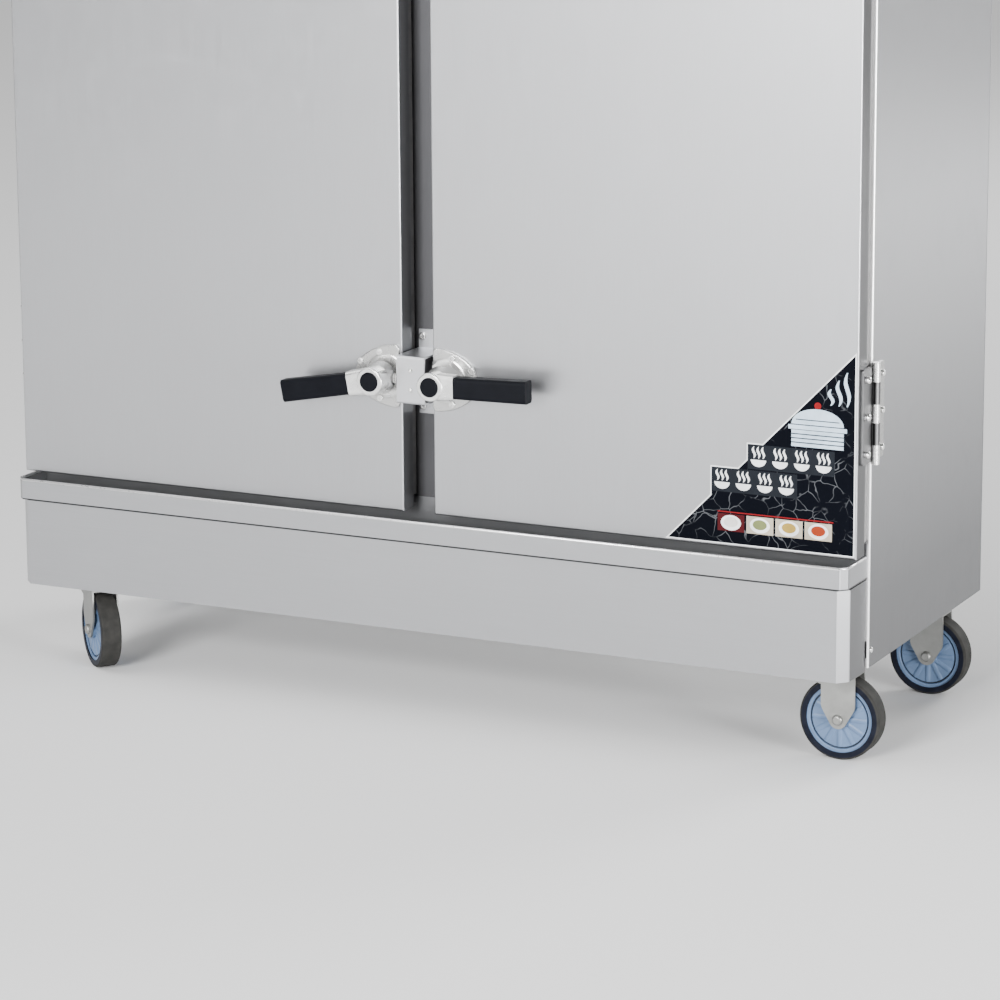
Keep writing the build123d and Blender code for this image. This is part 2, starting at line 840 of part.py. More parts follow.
def door_seal():
    """Four mitred strips of the right door's seal, rounded towards the frame."""
    x0 = door_inner_edge + seal_side_inset
    x1 = door_outer_edge - seal_side_inset
    z0 = door_bottom + seal_bottom_inset
    z1 = door_top - seal_top_inset
    far = case_front - seal_gap
    ring = block(x0, x1, door_back, far, z0, z1)
    ring = ring - block(x0 + seal_width, x1 - seal_width, door_back - cut_over, far + cut_over,
                        z0 + seal_width, z1 - seal_width)
    ring = fillet(ring.faces().sort_by(Axis.Y)[-1].edges(), seal_round)
    corners = [(x0, z0), (x1, z0), (x1, z1), (x0, z1)]
    inner = [(x0 + seal_width, z0 + seal_width), (x1 - seal_width, z0 + seal_width),
             (x1 - seal_width, z1 - seal_width), (x0 + seal_width, z1 - seal_width)]
    strips = []
    for index in range(len(corners)):
        following = (index + 1) % len(corners)
        points = [corners[index], corners[following], inner[following], inner[index]]
        plane = place_xz(0, far + cut_over, 0)
        wedge = extrude(plane * make_face(Polyline(*points, close=True)), seal_depth + 2 * cut_over)
        strips.append(ring & wedge)
    return strips


def latch_neck():
    """Tapered neck about Z that widens into the plate through a hollow rounding."""
    flare_top = base_plate + tower_flare
    foot = tower_foot_radius + tower_flare
    edges = [Line((0, 0), (foot, 0)), Line((foot, 0), (foot, base_plate)),
             RadiusArc((foot, base_plate), (tower_foot_radius, flare_top), tower_flare),
             Line((tower_foot_radius, flare_top), (tower_head_radius, tower_depth)),
             Line((tower_head_radius, tower_depth), (0, tower_depth)),
             Line((0, tower_depth), (0, 0))]
    return revolve(Plane.XZ * make_face(edges), Axis.Z)


def latch_base(level):
    """Right-hand latch base: plate, tapered tower and the room in which the tongue turns."""
    z = level_height(latch_height, level)
    arc = EllipticalCenterArc((0, 0), base_reach, base_half_height, start_angle=-half_turn / 2,
                              arc_size=half_turn)
    half_oval = make_face([arc, Line(arc @ 1, arc @ 0)])
    half_oval = fillet(half_oval.vertices(), base_corner)
    plate = extrude(place_xz(base_edge, door_front, z) * half_oval, base_plate)
    plate = fillet(plate.faces().sort_by(Axis.Y)[0].edges(), base_round)
    reach = tower_foot_radius + tower_flare
    neck = Pos(latch_pivot, door_front, z) * Rot(90, 0, 0) * latch_neck()
    body = plate + (neck & block(base_edge, latch_pivot + reach, door_front - tower_depth, door_front,
                                 z - reach, z + reach))
    room = rod_y(latch_pivot, door_front - tongue_room_end, door_front - tongue_room_start, z,
                 reach + cut_over)
    keep = block(latch_pivot + tower_back_wall, latch_pivot + 2 * tongue_radius,
                 door_front - tongue_room_end, door_front, z - 2 * tongue_radius, z + 2 * tongue_radius)
    body = body - (room - keep)
    body = body - rod_y(latch_pivot, door_front - tower_depth - cut_over,
                        door_front - tongue_room_end + cut_over, z, spindle_radius + fit_gap)
    for x, hole_z in base_screw_places():
        body = body - rod_y(x, door_front - base_plate - cut_over, door_front + cut_over, hole_z,
                            base_screw_shank + bolt_gap)
        body = body - rod_y(x, door_front - tower_depth, door_front - base_plate, hole_z,
                            base_screw_radius + bolt_gap)
    return body


def button_screw(x, y, z, head_radius, head, shank, length):
    """Round-headed socket screw along Y whose head sits on the face at y."""
    disc = rod_y(x, y - head, y, z, head_radius)
    disc = fillet(disc.edges().group_by(Axis.Y)[0], head * head_crown_share)
    socket = place_xz(x, y - head * (1 - socket_depth_share), z)
    socket = extrude(socket * RegularPolygon(head_radius * socket_radius_share, 6), head)
    return disc - socket + rod_y(x, y, y + length, z, shank)


def latch_bases(side):
    """Both latch bases of one door with their screws."""
    pieces = [latch_base(level) for level in levels]
    for x, z in base_screw_places():
        pieces.append(button_screw(x, door_front - base_plate, z, base_screw_radius, base_screw_head,
                                   base_screw_shank, base_plate + base_screw_length - 2 * fit_gap))
    return [handed(piece, side) for piece in pieces]


def arm_location(level, droop):
    """Lever arm's own axes: X along the arm, turned down by the droop and in by the slant."""
    z = level_height(latch_height, level)
    depth = hub_start + hub_depth / 2
    return Pos(latch_pivot, door_front - depth, z) * Rot(0, droop, 0) * Rot(0, 0, arm_slant)


def latch_lever(level, droop):
    """Right-hand lever: hub, socket, grip core, spindle and tongue in one casting."""
    z = level_height(latch_height, level)
    y_hub = door_front - hub_start
    hub = rod_y(latch_pivot, y_hub - hub_depth, y_hub, z, hub_radius)
    hub = fillet(hub.edges().group_by(Axis.Y)[0], hub_round)
    hub = hub - rod_y(latch_pivot, y_hub - hub_depth - cut_over, y_hub - hub_depth + cap_seat, z,
                      cap_radius + bolt_gap)
    place = arm_location(level, droop)
    near = Plane(origin=(hub_radius / 2, 0, 0), z_dir=(1, 0, 0), x_dir=(0, 1, 0))
    far = Plane(origin=(socket_length, 0, 0), z_dir=(1, 0, 0), x_dir=(0, 1, 0))
    wide = near * RectangleRounded(socket_depth - hub_round, 2 * hub_radius - hub_round, socket_round)
    tall = far * RectangleRounded(socket_depth, socket_height, socket_round)
    socket = place * loft([wide, tall])
    room = rod_y(latch_pivot, y_hub - hub_depth - cut_over, y_hub - hub_depth + cap_seat, z,
                 cap_radius + bolt_gap)
    core_length = grip_length - grip_core_short
    core_middle = socket_length + core_length / 2
    core = place * Pos(core_middle, 0, 0) * Box(core_length, grip_core_depth, grip_core_height)
    spindle = rod_y(latch_pivot, y_hub, door_front - tongue_start, z, spindle_radius)
    tongue = block(latch_pivot - tongue_radius, latch_pivot, door_front - tongue_end,
                   door_front - tongue_start, z - tongue_half_width, z + tongue_half_width)
    tongue = tongue & rod_y(latch_pivot, door_front - tongue_end, door_front - tongue_start, z,
                            tongue_radius)
    return hub + (socket - room) + core + spindle + tongue


def lever_grip(level, droop):
    """Right-hand lever's black grip over its core, and the round cap on the hub."""
    place = arm_location(level, droop)
    near = Plane(origin=(socket_length, 0, 0), z_dir=(1, 0, 0), x_dir=(0, 1, 0))
    far = Plane(origin=(socket_length + grip_length, 0, 0), z_dir=(1, 0, 0), x_dir=(0, 1, 0))
    start = near * RectangleRounded(grip_depth, grip_height, grip_round)
    end = far * RectangleRounded(grip_depth, grip_end_height, grip_round)
    sleeve = place * loft([start, end])
    core_length = grip_length - grip_core_short + fit_gap
    pocket = place * Pos(socket_length + core_length / 2, 0, 0)
    pocket = pocket * Box(core_length, grip_core_depth + fit_gap, grip_core_height + fit_gap)
    z = level_height(latch_height, level)
    front = door_front - hub_start - hub_depth
    cap = rod_y(latch_pivot, front - cap_proud, front + cap_seat, z, cap_radius)
    cap = fillet(cap.edges().group_by(Axis.Y)[0], cap_round)
    return [sleeve - pocket, cap]


def latch_keeper(level):
    """Hat-shaped bracket on the mullion with open sides for the two tongues."""
    z = level_height(keeper_height, level)
    front = door_front - keeper_reach
    deep = case_front - front
    top = keeper_half_height
    tip = top + keeper_flange
    outer = [(0, -tip), (0, -top), (-deep, -top), (-deep, top), (0, top), (0, tip)]
    line = FilletPolyline(*[outer[1], outer[2], outer[3], outer[4]], radius=keeper_bend)
    solid = make_face([line.edges(), Line(outer[4], outer[1])])
    inner_line = FilletPolyline((cut_over, keeper_plate - top), (keeper_plate - deep, keeper_plate - top),
                                (keeper_plate - deep, top - keeper_plate), (cut_over, top - keeper_plate),
                                radius=keeper_bend - keeper_plate / 2)
    inner = make_face([inner_line.edges(),
                       Line((cut_over, top - keeper_plate), (cut_over, keeper_plate - top))])
    hat = solid - inner
    for end in (-1, 1):
        flange = Pos(-keeper_plate / 2, end * (top + keeper_flange / 2))
        hat = hat + flange * Rectangle(keeper_plate, keeper_flange)
    plane = Plane(origin=(-keeper_half_width, case_front, z), x_dir=(0, 1, 0), z_dir=(1, 0, 0))
    bracket = extrude(plane * hat, 2 * keeper_half_width)
    cuts = []
    for x, hole_z in keeper_screw_places():
        cuts.append(rod_y(x, case_front - keeper_plate - cut_over, case_front + cut_over, hole_z,
                          keeper_screw_shank + bolt_gap))
    return bracket - cuts


def fasteners():
    """Keeper screws and rivets, hinge bolts and screws in the sides, and caster plate bolts."""
    pieces = []
    for x, z in keeper_screw_places():
        pieces.append(button_screw(x, case_front - keeper_plate, z, keeper_screw_radius, keeper_screw_head,
                                   keeper_screw_shank, keeper_screw_length))
    face = door_front - keeper_reach
    for level in levels:
        for step in (-1, 1):
            z = level_height(keeper_height, level) + step * keeper_rivet_spacing / 2
            dome = rod_y(0, face - keeper_rivet_dome, face, z, keeper_rivet_radius)
            pieces.append(fillet(dome.edges().group_by(Axis.Y)[0], keeper_rivet_dome * dome_share))
    for side in sides.values():
        for level in levels:
            for z in hinge_bolt_heights(level):
                pieces.append(handed(hinge_bolt(case_front + hinge_case_bolt, z), side))
        pieces.append(handed(side_screw(), side))
    for x, y, turn in caster_places().values():
        pieces += [Pos(x, y, 0) * bolt for bolt in plate_bolts()]
    return pieces


def side_screw():
    """Low screw near the right side panel's front bottom corner."""
    y = case_front + side_screw_room
    head = rod_x(half_width, half_width + side_screw_head, y, side_screw_height, side_screw_radius)
    head = fillet(head.edges().group_by(Axis.X)[-1], side_screw_head * head_crown_share)
    shank = rod_x(half_width - side_screw_length, half_width, y, side_screw_height, side_screw_shank)
    return head + shank


def hinge_bolt(y, z):
    """Bolt through a hinge leaf into the right side, with a domed head."""
    seat = half_width + hinge_leaf
    head = rod_x(seat, seat + hinge_bolt_head, y, z, hinge_bolt_head_radius)
    head = fillet(head.edges().group_by(Axis.X)[-1], hinge_bolt_dome)
    return head + rod_x(seat - hinge_bolt_length, seat, y, z, hinge_bolt_shank)


def knuckle_spans(level):
    """Start and end heights of the knuckles, which alternate between case and door."""
    z = level_height(hinge_height, level) - hinge_length / 2
    on_doors = knuckle_count // 2
    case_knuckle = (hinge_length - on_doors * door_knuckle) / (knuckle_count - on_doors)
    spans = []
    for index in range(knuckle_count):
        length = door_knuckle if index % 2 else case_knuckle
        spans.append((z, z + length, index % 2))
        z += length
    return spans


def hinge_half(level, for_door):
    """One leaf of the right hinge with its knuckles, forward on the door or back on the case."""
    z = level_height(hinge_height, level)
    way = -1 if for_door else 1
    x0 = half_width
    x1 = half_width + hinge_leaf
    if for_door:
        x0 = door_outer_edge
    far = case_front + way * hinge_leaf_width
    leaf = block(x0, x1, case_front, far, z - hinge_leaf_height / 2, z + hinge_leaf_height / 2)
    outline_edges = leaf.edges().filter_by(Axis.X)
    outer_edges = outline_edges.group_by(Axis.Y)[0 if for_door else -1]
    leaf = fillet(outer_edges, plate_round / 2)
    for start, end, on_door in knuckle_spans(level):
        if bool(on_door) != for_door:
            room = rod_z(hinge_x, case_front, start - knuckle_gap, end + knuckle_gap,
                         hinge_barrel_radius + running_gap)
            leaf = leaf - room
    for start, end, on_door in knuckle_spans(level):
        if bool(on_door) == for_door:
            low = start + knuckle_gap / 2
            high = end - knuckle_gap / 2
            leaf = leaf + rod_z(hinge_x, case_front, low, high, hinge_barrel_radius)
    pin_room = fit_gap if for_door else 0
    leaf = leaf - rod_z(hinge_x, case_front, z - hinge_length, z + hinge_length, hinge_pin_radius + pin_room)
    row = case_front + way * (hinge_door_bolt if for_door else hinge_case_bolt)
    for bolt_z in hinge_bolt_heights(level):
        leaf = leaf - rod_x(x0 - cut_over, x1 + cut_over, row, bolt_z, hinge_bolt_shank + bolt_gap)
    return leaf


def hinge_pin(level):
    """Pin through all knuckles with a low head at each end."""
    z = level_height(hinge_height, level)
    low = z - hinge_length / 2
    high = z + hinge_length / 2
    pin = rod_z(hinge_x, case_front, low - hinge_pin_head, high + hinge_pin_head, hinge_pin_radius)
    heads = [rod_z(hinge_x, case_front, low - hinge_pin_head, low, hinge_barrel_radius),
             rod_z(hinge_x, case_front, high, high + hinge_pin_head, hinge_barrel_radius)]
    return pin + heads


def hinge_case_halves():
    """Case leaves and pins of all four hinges."""
    pieces = []
    for side in sides.values():
        for level in levels:
            pieces.append(handed(hinge_half(level, False), side))
            pieces.append(handed(hinge_pin(level), side))
    return pieces


def hinge_door_halves(side):
    """Door leaves of one door's two hinges with their bolts."""
    pieces = []
    for level in levels:
        pieces.append(handed(hinge_half(level, True), side))
        for z in hinge_bolt_heights(level):
            pieces.append(handed(hinge_bolt(case_front - hinge_door_bolt, z), side))
    return pieces


def caster_places():
    """Swivel axis and turn of each caster."""
    front = case_front + caster_front
    back = front + caster_spread
    return {
        "front_right": (caster_x, front, front_right_turn),
        "front_left": (-caster_x, front, front_left_turn),
        "rear_right": (caster_x, back, rear_right_turn),
        "rear_left": (-caster_x, back, rear_left_turn),
    }


def caster_plate():
    """Top plate with the fixed race and the kingpin, on the swivel axis."""
    top = frame_bottom
    plate = block(-plate_length / 2, plate_length / 2, -plate_width / 2, plate_width / 2,
                  top - plate_thickness, top)
    plate = fillet(plate.edges().filter_by(Axis.Z), plate_round)
    race_bottom = fork_crown_bottom + fork_crown + race_height + running_gap
    race = rod_z(0, 0, race_bottom, top - plate_thickness, race_radius)
    race = chamfer(race.edges().group_by(Axis.Z)[0], race_chamfer)
    low = fork_crown_bottom - running_gap - kingpin_nut
    pin = rod_z(0, 0, low, race_bottom, kingpin_radius)
    nut = rod_z(0, 0, low, low + kingpin_nut, kingpin_nut_radius)
    holes = []
    for x, y in plate_bolt_places():
        holes.append(rod_z(x, y, top - plate_thickness - cut_over, top + cut_over,
                           plate_bolt_radius + bolt_gap))
    return plate + race + pin + nut - holes


def plate_bolt_places():
    """Bolt places on a caster plate."""
    return [(sx * plate_bolt_x / 2, sy * plate_bolt_y / 2) for sx in (-1, 1) for sy in (-1, 1)]


def plate_bolts():
    """Four bolts of a caster plate, heads below, ends in the frame."""
    bolts = []
    face = frame_bottom - plate_thickness
    for x, y in plate_bolt_places():
        head = rod_z(x, y, face - plate_bolt_head, face, plate_bolt_head_radius)
        bolts.append(head + rod_z(x, y, face, frame_bottom, plate_bolt_radius))
    return bolts


def caster_plates():
    """The four top plates."""
    return [Pos(x, y, 0) * caster_plate() for x, y, turn in caster_places().values()]


def fork_leg_outline():
    """Leg seen from the side: crown flare, straight shoulders and an ogive round the axle."""
    top = fork_crown_bottom + fork_crown - wheel_radius
    tip = Circle(fork_tip_radius)
    shoulders = [Pos(side * (fork_shoulder_half - fork_shoulder_round), fork_shoulder_height)
                 * Circle(fork_shoulder_round) for side in (-1, 1)]
    edges = tip.edges() + shoulders[0].edges() + shoulders[1].edges()
    lower = make_hull(edges)
    points = [(-fork_shoulder_half, fork_shoulder_height), (fork_shoulder_half, fork_shoulder_height),
              (fork_shoulder_half, fork_flare_height), (fork_crown_front, top), (-fork_crown_back, top),
              (-fork_crown_back, top - fork_crown), (-fork_shoulder_half, fork_flare_height)]
    return lower + make_face(Polyline(*points, close=True))


def caster_fork():
    """Fork with its lower race, about the swivel axis, and the axle bolt as a solid of its own."""
    outer_half = fork_inner / 2 + fork_leg
    pieces = []
    for side in (-1, 1):
        y = side * (fork_inner / 2 + fork_leg / 2) + fork_leg / 2
        plane = place_xz(fork_trail, y, wheel_radius)
        leg = extrude(plane * fork_leg_outline(), fork_leg)
        leg = leg - rod_y(fork_trail, y - fork_leg - cut_over, y + cut_over, wheel_radius,
                          axle_radius + bolt_gap)
        pieces.append(leg)
    crown = block(fork_trail - fork_crown_back, fork_trail + fork_crown_front, -outer_half, outer_half,
                  fork_crown_bottom, fork_crown_bottom + fork_crown)
    top = fork_crown_bottom + fork_crown
    race = rod_z(0, 0, top, top + race_height, race_radius)
    race = chamfer(race.edges().group_by(Axis.Z)[-1], race_chamfer)
    fork = crown + race + pieces
    fork = fork - rod_z(0, 0, fork_crown_bottom - cut_over, top + race_height + cut_over,
                        kingpin_radius + fit_gap)
    bolt = rod_y(fork_trail, -outer_half, outer_half, wheel_radius, axle_radius)
    head = rod_y(fork_trail, -outer_half - axle_head, -outer_half, wheel_radius, axle_head_radius)
    head = fillet(head.edges().group_by(Axis.Y)[0], axle_head_dome)
    nut = rod_y(fork_trail, outer_half, outer_half + axle_nut, wheel_radius, axle_head_radius)
    return [fork, bolt + head + nut]


def caster_tyre():
    """Ring tyre with rounded shoulders, about the Y axis."""
    half = wheel_width / 2
    section = Pos((tyre_inner + wheel_radius) / 2, 0) * Rectangle(wheel_radius - tyre_inner, wheel_width)
    section = fillet(section.vertices().group_by(Axis.X)[-1], tread_round)
    plane = Plane(origin=(0, 0, 0), x_dir=(1, 0, 0), z_dir=(0, 0, 1))
    return revolve(plane * section, Axis.Y)


def caster_rim():
    """Plastic wheel centre: proud outer ring, groove, and a dished field with soft petals round the hub."""
    field = rim_width / 2 - rim_dish
    ring = rod_y(0, -rim_width / 2, rim_width / 2, 0, tyre_inner)
    ring = ring - rod_y(0, -rim_width, rim_width, 0, rim_ring_inner)
    inner_edges = ring.edges().filter_by(GeomType.CIRCLE).sort_by(SortBy.RADIUS)[:2]
    ring = fillet(inner_edges, rim_ring_round)
    groove_inner = rim_ring_inner - rim_groove
    disc = rod_y(0, -field, field, 0, groove_inner)
    web = rod_y(0, rim_groove_depth - rim_width / 2, rim_width / 2 - rim_groove_depth, 0, rim_ring_inner)
    hub = rod_y(0, -rim_hub_width / 2, rim_hub_width / 2, 0, rim_hub_radius)
    reach = groove_inner - petal_end_room
    petals = []
    for face in (-1, 1):
        depth = face * (field + petal_height - petal_radius)
        petal = rod_x(0, reach, depth, 0, petal_radius)
        petal = petal + Pos(reach, depth, 0) * Rot(0, 90, 0) * Sphere(petal_radius)
        petals += [Rot(0, index * 360 / rim_petals, 0) * petal for index in range(rim_petals)]
    petals = [petal & rod_y(0, -rim_width, rim_width, 0, groove_inner) for petal in petals]
    body = ring + web + disc + hub + petals
    return body - rod_y(0, -rim_hub_width, rim_hub_width, 0, axle_radius + fit_gap)


def feed_tank():
    """Float tank on the back with its lid, inlet nipple, valve ears and outlet spigot."""
    x0 = feed_x - feed_width / 2
    x1 = feed_x + feed_width / 2
    y1 = case_back + feed_depth
    top = feed_bottom + feed_height
    body = block(x0, x1, case_back, y1 - feed_lid, feed_bottom, top - feed_lid)
    body = body - block(x0 + feed_wall, x1 - feed_wall, case_back + feed_wall, y1 - feed_lid - feed_wall,
                        feed_bottom + feed_wall, top + cut_over)
    inlet_y = case_back + feed_depth / 2
    inlet_z = top - feed_nipple_drop
    inlet = rod_x(x1 - feed_wall, x1 + feed_nipple_length, inlet_y, inlet_z, feed_nipple_radius)
    block_body = block(x1 - feed_wall - valve_body_length, x1 - feed_wall, inlet_y - valve_body / 2,
                       inlet_y + valve_body / 2, inlet_z - valve_body / 2, inlet_z + valve_body / 2)
    ears = []
    for side in (-1, 1):
        near = side * (float_eye_width / 2 + valve_ear_gap)
        ears.append(block(x1 - feed_wall - valve_body_length - 2 * float_eye_radius,
                          x1 - feed_wall - valve_body_length, inlet_y + near,
                          inlet_y + near + side * valve_ear, inlet_z - float_eye_radius,
                          inlet_z + float_eye_radius))
    pin_x, pin_z = float_pivot()
    reach = float_eye_width / 2 + valve_ear_gap + valve_ear
    pin = rod_y(pin_x, inlet_y - reach, inlet_y + reach, pin_z, float_pin_radius)
    body = body + inlet + block_body + ears + pin
    body = body - rod_x(x1 - feed_wall - valve_body_length / 2, x1 + feed_nipple_length + cut_over, inlet_y,
                        inlet_z, feed_nipple_bore)
    body = body - rod_z(feed_x, inlet_y, feed_bottom - cut_over, feed_bottom + feed_wall + cut_over,
                        branch_bore)
    lid = block(x0 - feed_lid, x1 + feed_lid, case_back, y1, top - feed_lid_lip, top)
    lid = lid - block(x0 - bolt_gap, x1 + bolt_gap, case_back - cut_over, y1 - feed_lid + bolt_gap,
                      top - feed_lid_lip - cut_over, top - feed_lid)
    return [body, lid]


def float_pivot():
    """Place of the float arm's pin."""
    x1 = feed_x + feed_width / 2
    top = feed_bottom + feed_height
    return x1 - feed_wall - valve_body_length - float_eye_radius, top - feed_nipple_drop


def float_arm():
    """Ball float on its arm, with the eye on the valve's pin."""
    x, z = float_pivot()
    y = case_back + feed_depth / 2
    eye = rod_y(x, y - float_eye_width / 2, y + float_eye_width / 2, z, float_eye_radius)
    eye = eye & block(x - float_eye_radius, x + float_eye_radius, y - float_eye_width, y + float_eye_width,
                      z - float_eye_radius, z + float_eye_radius)
    arm = rod_x(x - float_arm_length, x - float_pin_radius, y, z, float_arm_radius)
    ball = Pos(x - float_arm_length, y, z) * Rot(0, 0, 90) * Sphere(float_radius)
    body = eye + arm + ball
    return body - rod_y(x, y - float_eye_width, y + float_eye_width, z, float_pin_radius + fit_gap)


def bent_pipe(points, radius):
    """Round bar along straight runs joined by bends."""
    route = FilletPolyline(*points, radius=pipe_bend)
    start = Vector(points[0])
    section = Plane(origin=start, z_dir=Vector(points[1]) - start) * Circle(radius)
    return sweep(section, path=route)


def water_manifold():
    """Pipe that joins both tanks, with branches to the drain valve and the feed tank."""
    y = case_back - pipe_back_room
    z = pipe_height
    far = chamber_middle
    feed_y = case_back + feed_depth / 2
    main = [(-far, y, tank_bottom), (-far, y, z), (far, y, z), (far, y, tank_bottom)]
    rise = [(feed_x, y, z), (feed_x, feed_y, z), (feed_x, feed_y, feed_bottom)]
    body = bent_pipe(main, pipe_radius) + bent_pipe(rise, branch_radius)
    body = body + rod_y(0, y, case_back, z, branch_radius)
    for side in sides.values():
        body = body + rod_z(side * far, y, tank_bottom - pipe_flange, tank_bottom, pipe_flange_radius)
    body = body + rod_z(feed_x, feed_y, feed_bottom - pipe_flange, feed_bottom, pipe_flange_radius)
    body = body - bent_pipe(main, pipe_bore) - bent_pipe(rise, branch_bore)
    return body - rod_y(0, y, case_back + cut_over, z, branch_bore)


def drain_valve():
    """Ball valve on the back: hexagons, body, outlet nipple and the lever's stem."""
    z = pipe_height
    hex_plane = Plane(origin=(0, case_back, z), x_dir=(1, 0, 0), z_dir=(0, 1, 0))
    start = extrude(hex_plane * RegularPolygon(drain_hex, 6), drain_hex_length)
    body_end = case_back + drain_hex_length + drain_body_length
    body = rod_y(0, case_back + drain_hex_length, body_end, z, drain_hex)
    centre = Pos(0, case_back + drain_hex_length + drain_body_length / 2, z) * Sphere(drain_body_radius)
    nipple = rod_y(0, body_end, body_end + drain_nipple_length, z, drain_nipple_radius)
    stem_y = drain_stem_y()
    stem_top = z + drain_body_radius + drain_stem_height
    stem = rod_z(0, stem_y, z, stem_top, drain_stem_radius)
    nut = rod_z(0, stem_y, stem_top, stem_top + drain_nut, drain_nut_radius)
    bore = rod_y(0, body_end - drain_hex_length, body_end + drain_nipple_length + cut_over, z,
                 drain_nipple_bore)
    inlet = rod_y(0, case_back - cut_over, case_back + drain_hex_length / 2, z, branch_bore)
    return start + body + centre + nipple + stem + nut - bore - inlet


def drain_stem_y():
    """Place of the drain lever's axis."""
    return case_back + drain_hex_length + drain_body_length / 2


def drain_lever():
    """Flat lever across the pipe when shut, with a plastic sleeve on its free part."""
    y = drain_stem_y()
    top = pipe_height + drain_body_radius + drain_stem_height - running_gap
    low = top - drain_lever_thickness
    bar = block(-drain_lever_width / 2, drain_lever_length, y - drain_lever_width / 2,
                y + drain_lever_width / 2, low, top)
    bar = fillet(bar.edges().filter_by(Axis.Z), drain_lever_width / 4)
    half_sleeve = drain_lever_width / 2 + drain_lever_sleeve
    sleeve = block(drain_lever_length - drain_lever_grip, drain_lever_length + drain_lever_sleeve,
                   y - half_sleeve, y + half_sleeve, low - drain_lever_sleeve, top + drain_lever_sleeve)
    sleeve = fillet(sleeve.edges().filter_by(Axis.Z), drain_lever_width / 4)
    body = bar + sleeve
    return body - rod_z(0, y, low - cut_over, top + cut_over, drain_stem_radius + fit_gap)


def steam_vents():
    """A tube from each chamber through the back, with a flange outside."""
    z = vent_height()
    pieces = []
    for side in sides.values():
        x = side * chamber_middle
        tube = rod_y(x, chamber_back, case_back + vent_reach, z, vent_radius)
        flange = rod_y(x, case_back, case_back + vent_flange, z, vent_flange_radius)
        bore = rod_y(x, chamber_back - cut_over, case_back + vent_reach + cut_over, z,
                     vent_radius - vent_wall)
        pieces.append(tube + flange - bore)
    return pieces


def save(name, shape):
    """Write one node's solids to its STEP file."""
    if isinstance(shape, (list, tuple)):
        shape = Compound(children=[piece for piece in shape])
    export_step(shape, f"parts/{name}.step")


def case_nodes():
    """Pieces that belong to the case itself."""
    panel = side_panel()
    nodes = {
        "right_side_panel": panel,
        "left_side_panel": handed(panel, -1),
        "back_panel": back_panel(),
        "roof_panel": roof_panel(),
        "wall_insulation": wall_insulation(),
        "front_frame": front_frame(),
        "mullion": mullion(),
        "chamber_liners": chamber_liner(-1) + chamber_liner(1),
        "tray_rails": tray_rails(),
        "rack_uprights": rack_uprights(),
        "water_tanks": water_tanks(),
        "heating_elements": heating_elements(),
        "latch_keepers": [latch_keeper(level) for level in levels],
        "case_fasteners": fasteners(),
        "hinge_case_halves": hinge_case_halves(),
        "drip_trough": drip_trough(),
        "skirt_panel": skirt_panel(),
        "base_frame": base_frame(),
        "control_fascia": fascia_box(),
        "steam_vents": steam_vents(),
        "water_manifold": water_manifold(),
        "drain_valve": drain_valve(),
        "drain_lever": drain_lever(),
        "feed_tank": feed_tank(),
        "float_arm": float_arm(),
        "caster_plates": caster_plates(),
        "left_control_knob": control_knob(-1),
        "right_control_knob": control_knob(1),
    }
    return nodes


def door_nodes():
    """Pieces of the two doors and their latches."""
    skin = door_skin_shell()
    core = door_core()
    inner = door_inner_panel()
    seal = door_seal()
    droops = {"left": left_droop, "right": right_droop}
    nodes = {}
    for name, side in sides.items():
        nodes[f"{name}_door_skin"] = handed(skin, side)
        nodes[f"{name}_door_core"] = handed(core, side)
        nodes[f"{name}_door_inner_panel"] = handed(inner, side)
        nodes[f"{name}_door_seal"] = [handed(strip, side) for strip in seal]
        nodes[f"{name}_hinge_door_halves"] = hinge_door_halves(side)
        nodes[f"{name}_latch_bases"] = latch_bases(side)
        for level in levels:
            nodes[f"{level}_{name}_latch_lever"] = handed(latch_lever(level, droops[name]), side)
            grip = lever_grip(level, droops[name])
            nodes[f"{level}_{name}_lever_grip"] = [handed(piece, side) for piece in grip]
    return nodes


def caster_nodes():
    """Fork, rim and tyre of each caster at its own turn."""
    fork = caster_fork()
    rim = caster_rim()
    tyre = caster_tyre()
    nodes = {}
    for name, (x, y, turn) in caster_places().items():
        place = Pos(x, y, 0) * Rot(0, 0, turn)
        wheel = place * Pos(fork_trail, 0, wheel_radius)
        nodes[f"{name}_caster_fork"] = [place * piece for piece in fork]
        nodes[f"{name}_wheel_rim"] = wheel * rim
        nodes[f"{name}_wheel_tyre"] = wheel * tyre
    return nodes


os.makedirs("parts", exist_ok=True)
for builder in (case_nodes, door_nodes, caster_nodes):
    for node, solid in builder().items():
        save(node, solid)
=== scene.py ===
"""Looks of the double-door steamer cabinet: finishes, door print, dial marks, small trim and studio.

Lengths are metres where no comment says otherwise. X runs along the front, Y to the back and Z up.
"""

import json
import math

import bpy
import numpy as np
from mathutils import Matrix, Vector


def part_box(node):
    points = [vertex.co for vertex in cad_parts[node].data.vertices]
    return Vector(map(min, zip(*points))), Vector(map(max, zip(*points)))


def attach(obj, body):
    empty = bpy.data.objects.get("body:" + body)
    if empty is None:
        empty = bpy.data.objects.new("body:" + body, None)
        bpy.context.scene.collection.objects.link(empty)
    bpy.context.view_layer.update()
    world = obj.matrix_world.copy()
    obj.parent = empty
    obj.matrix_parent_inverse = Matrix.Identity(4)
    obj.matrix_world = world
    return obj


bl_info = {
    "name": "Steamer Cabinet Looks",
    "version": (1, 0, 0),
    "blender": (4, 5, 0),
    "location": "3D View > Sidebar > Steamer",
    "description": "Dresses a double-door steamer cabinet with brushed steel, fittings and a studio",
    "category": "Object",
}

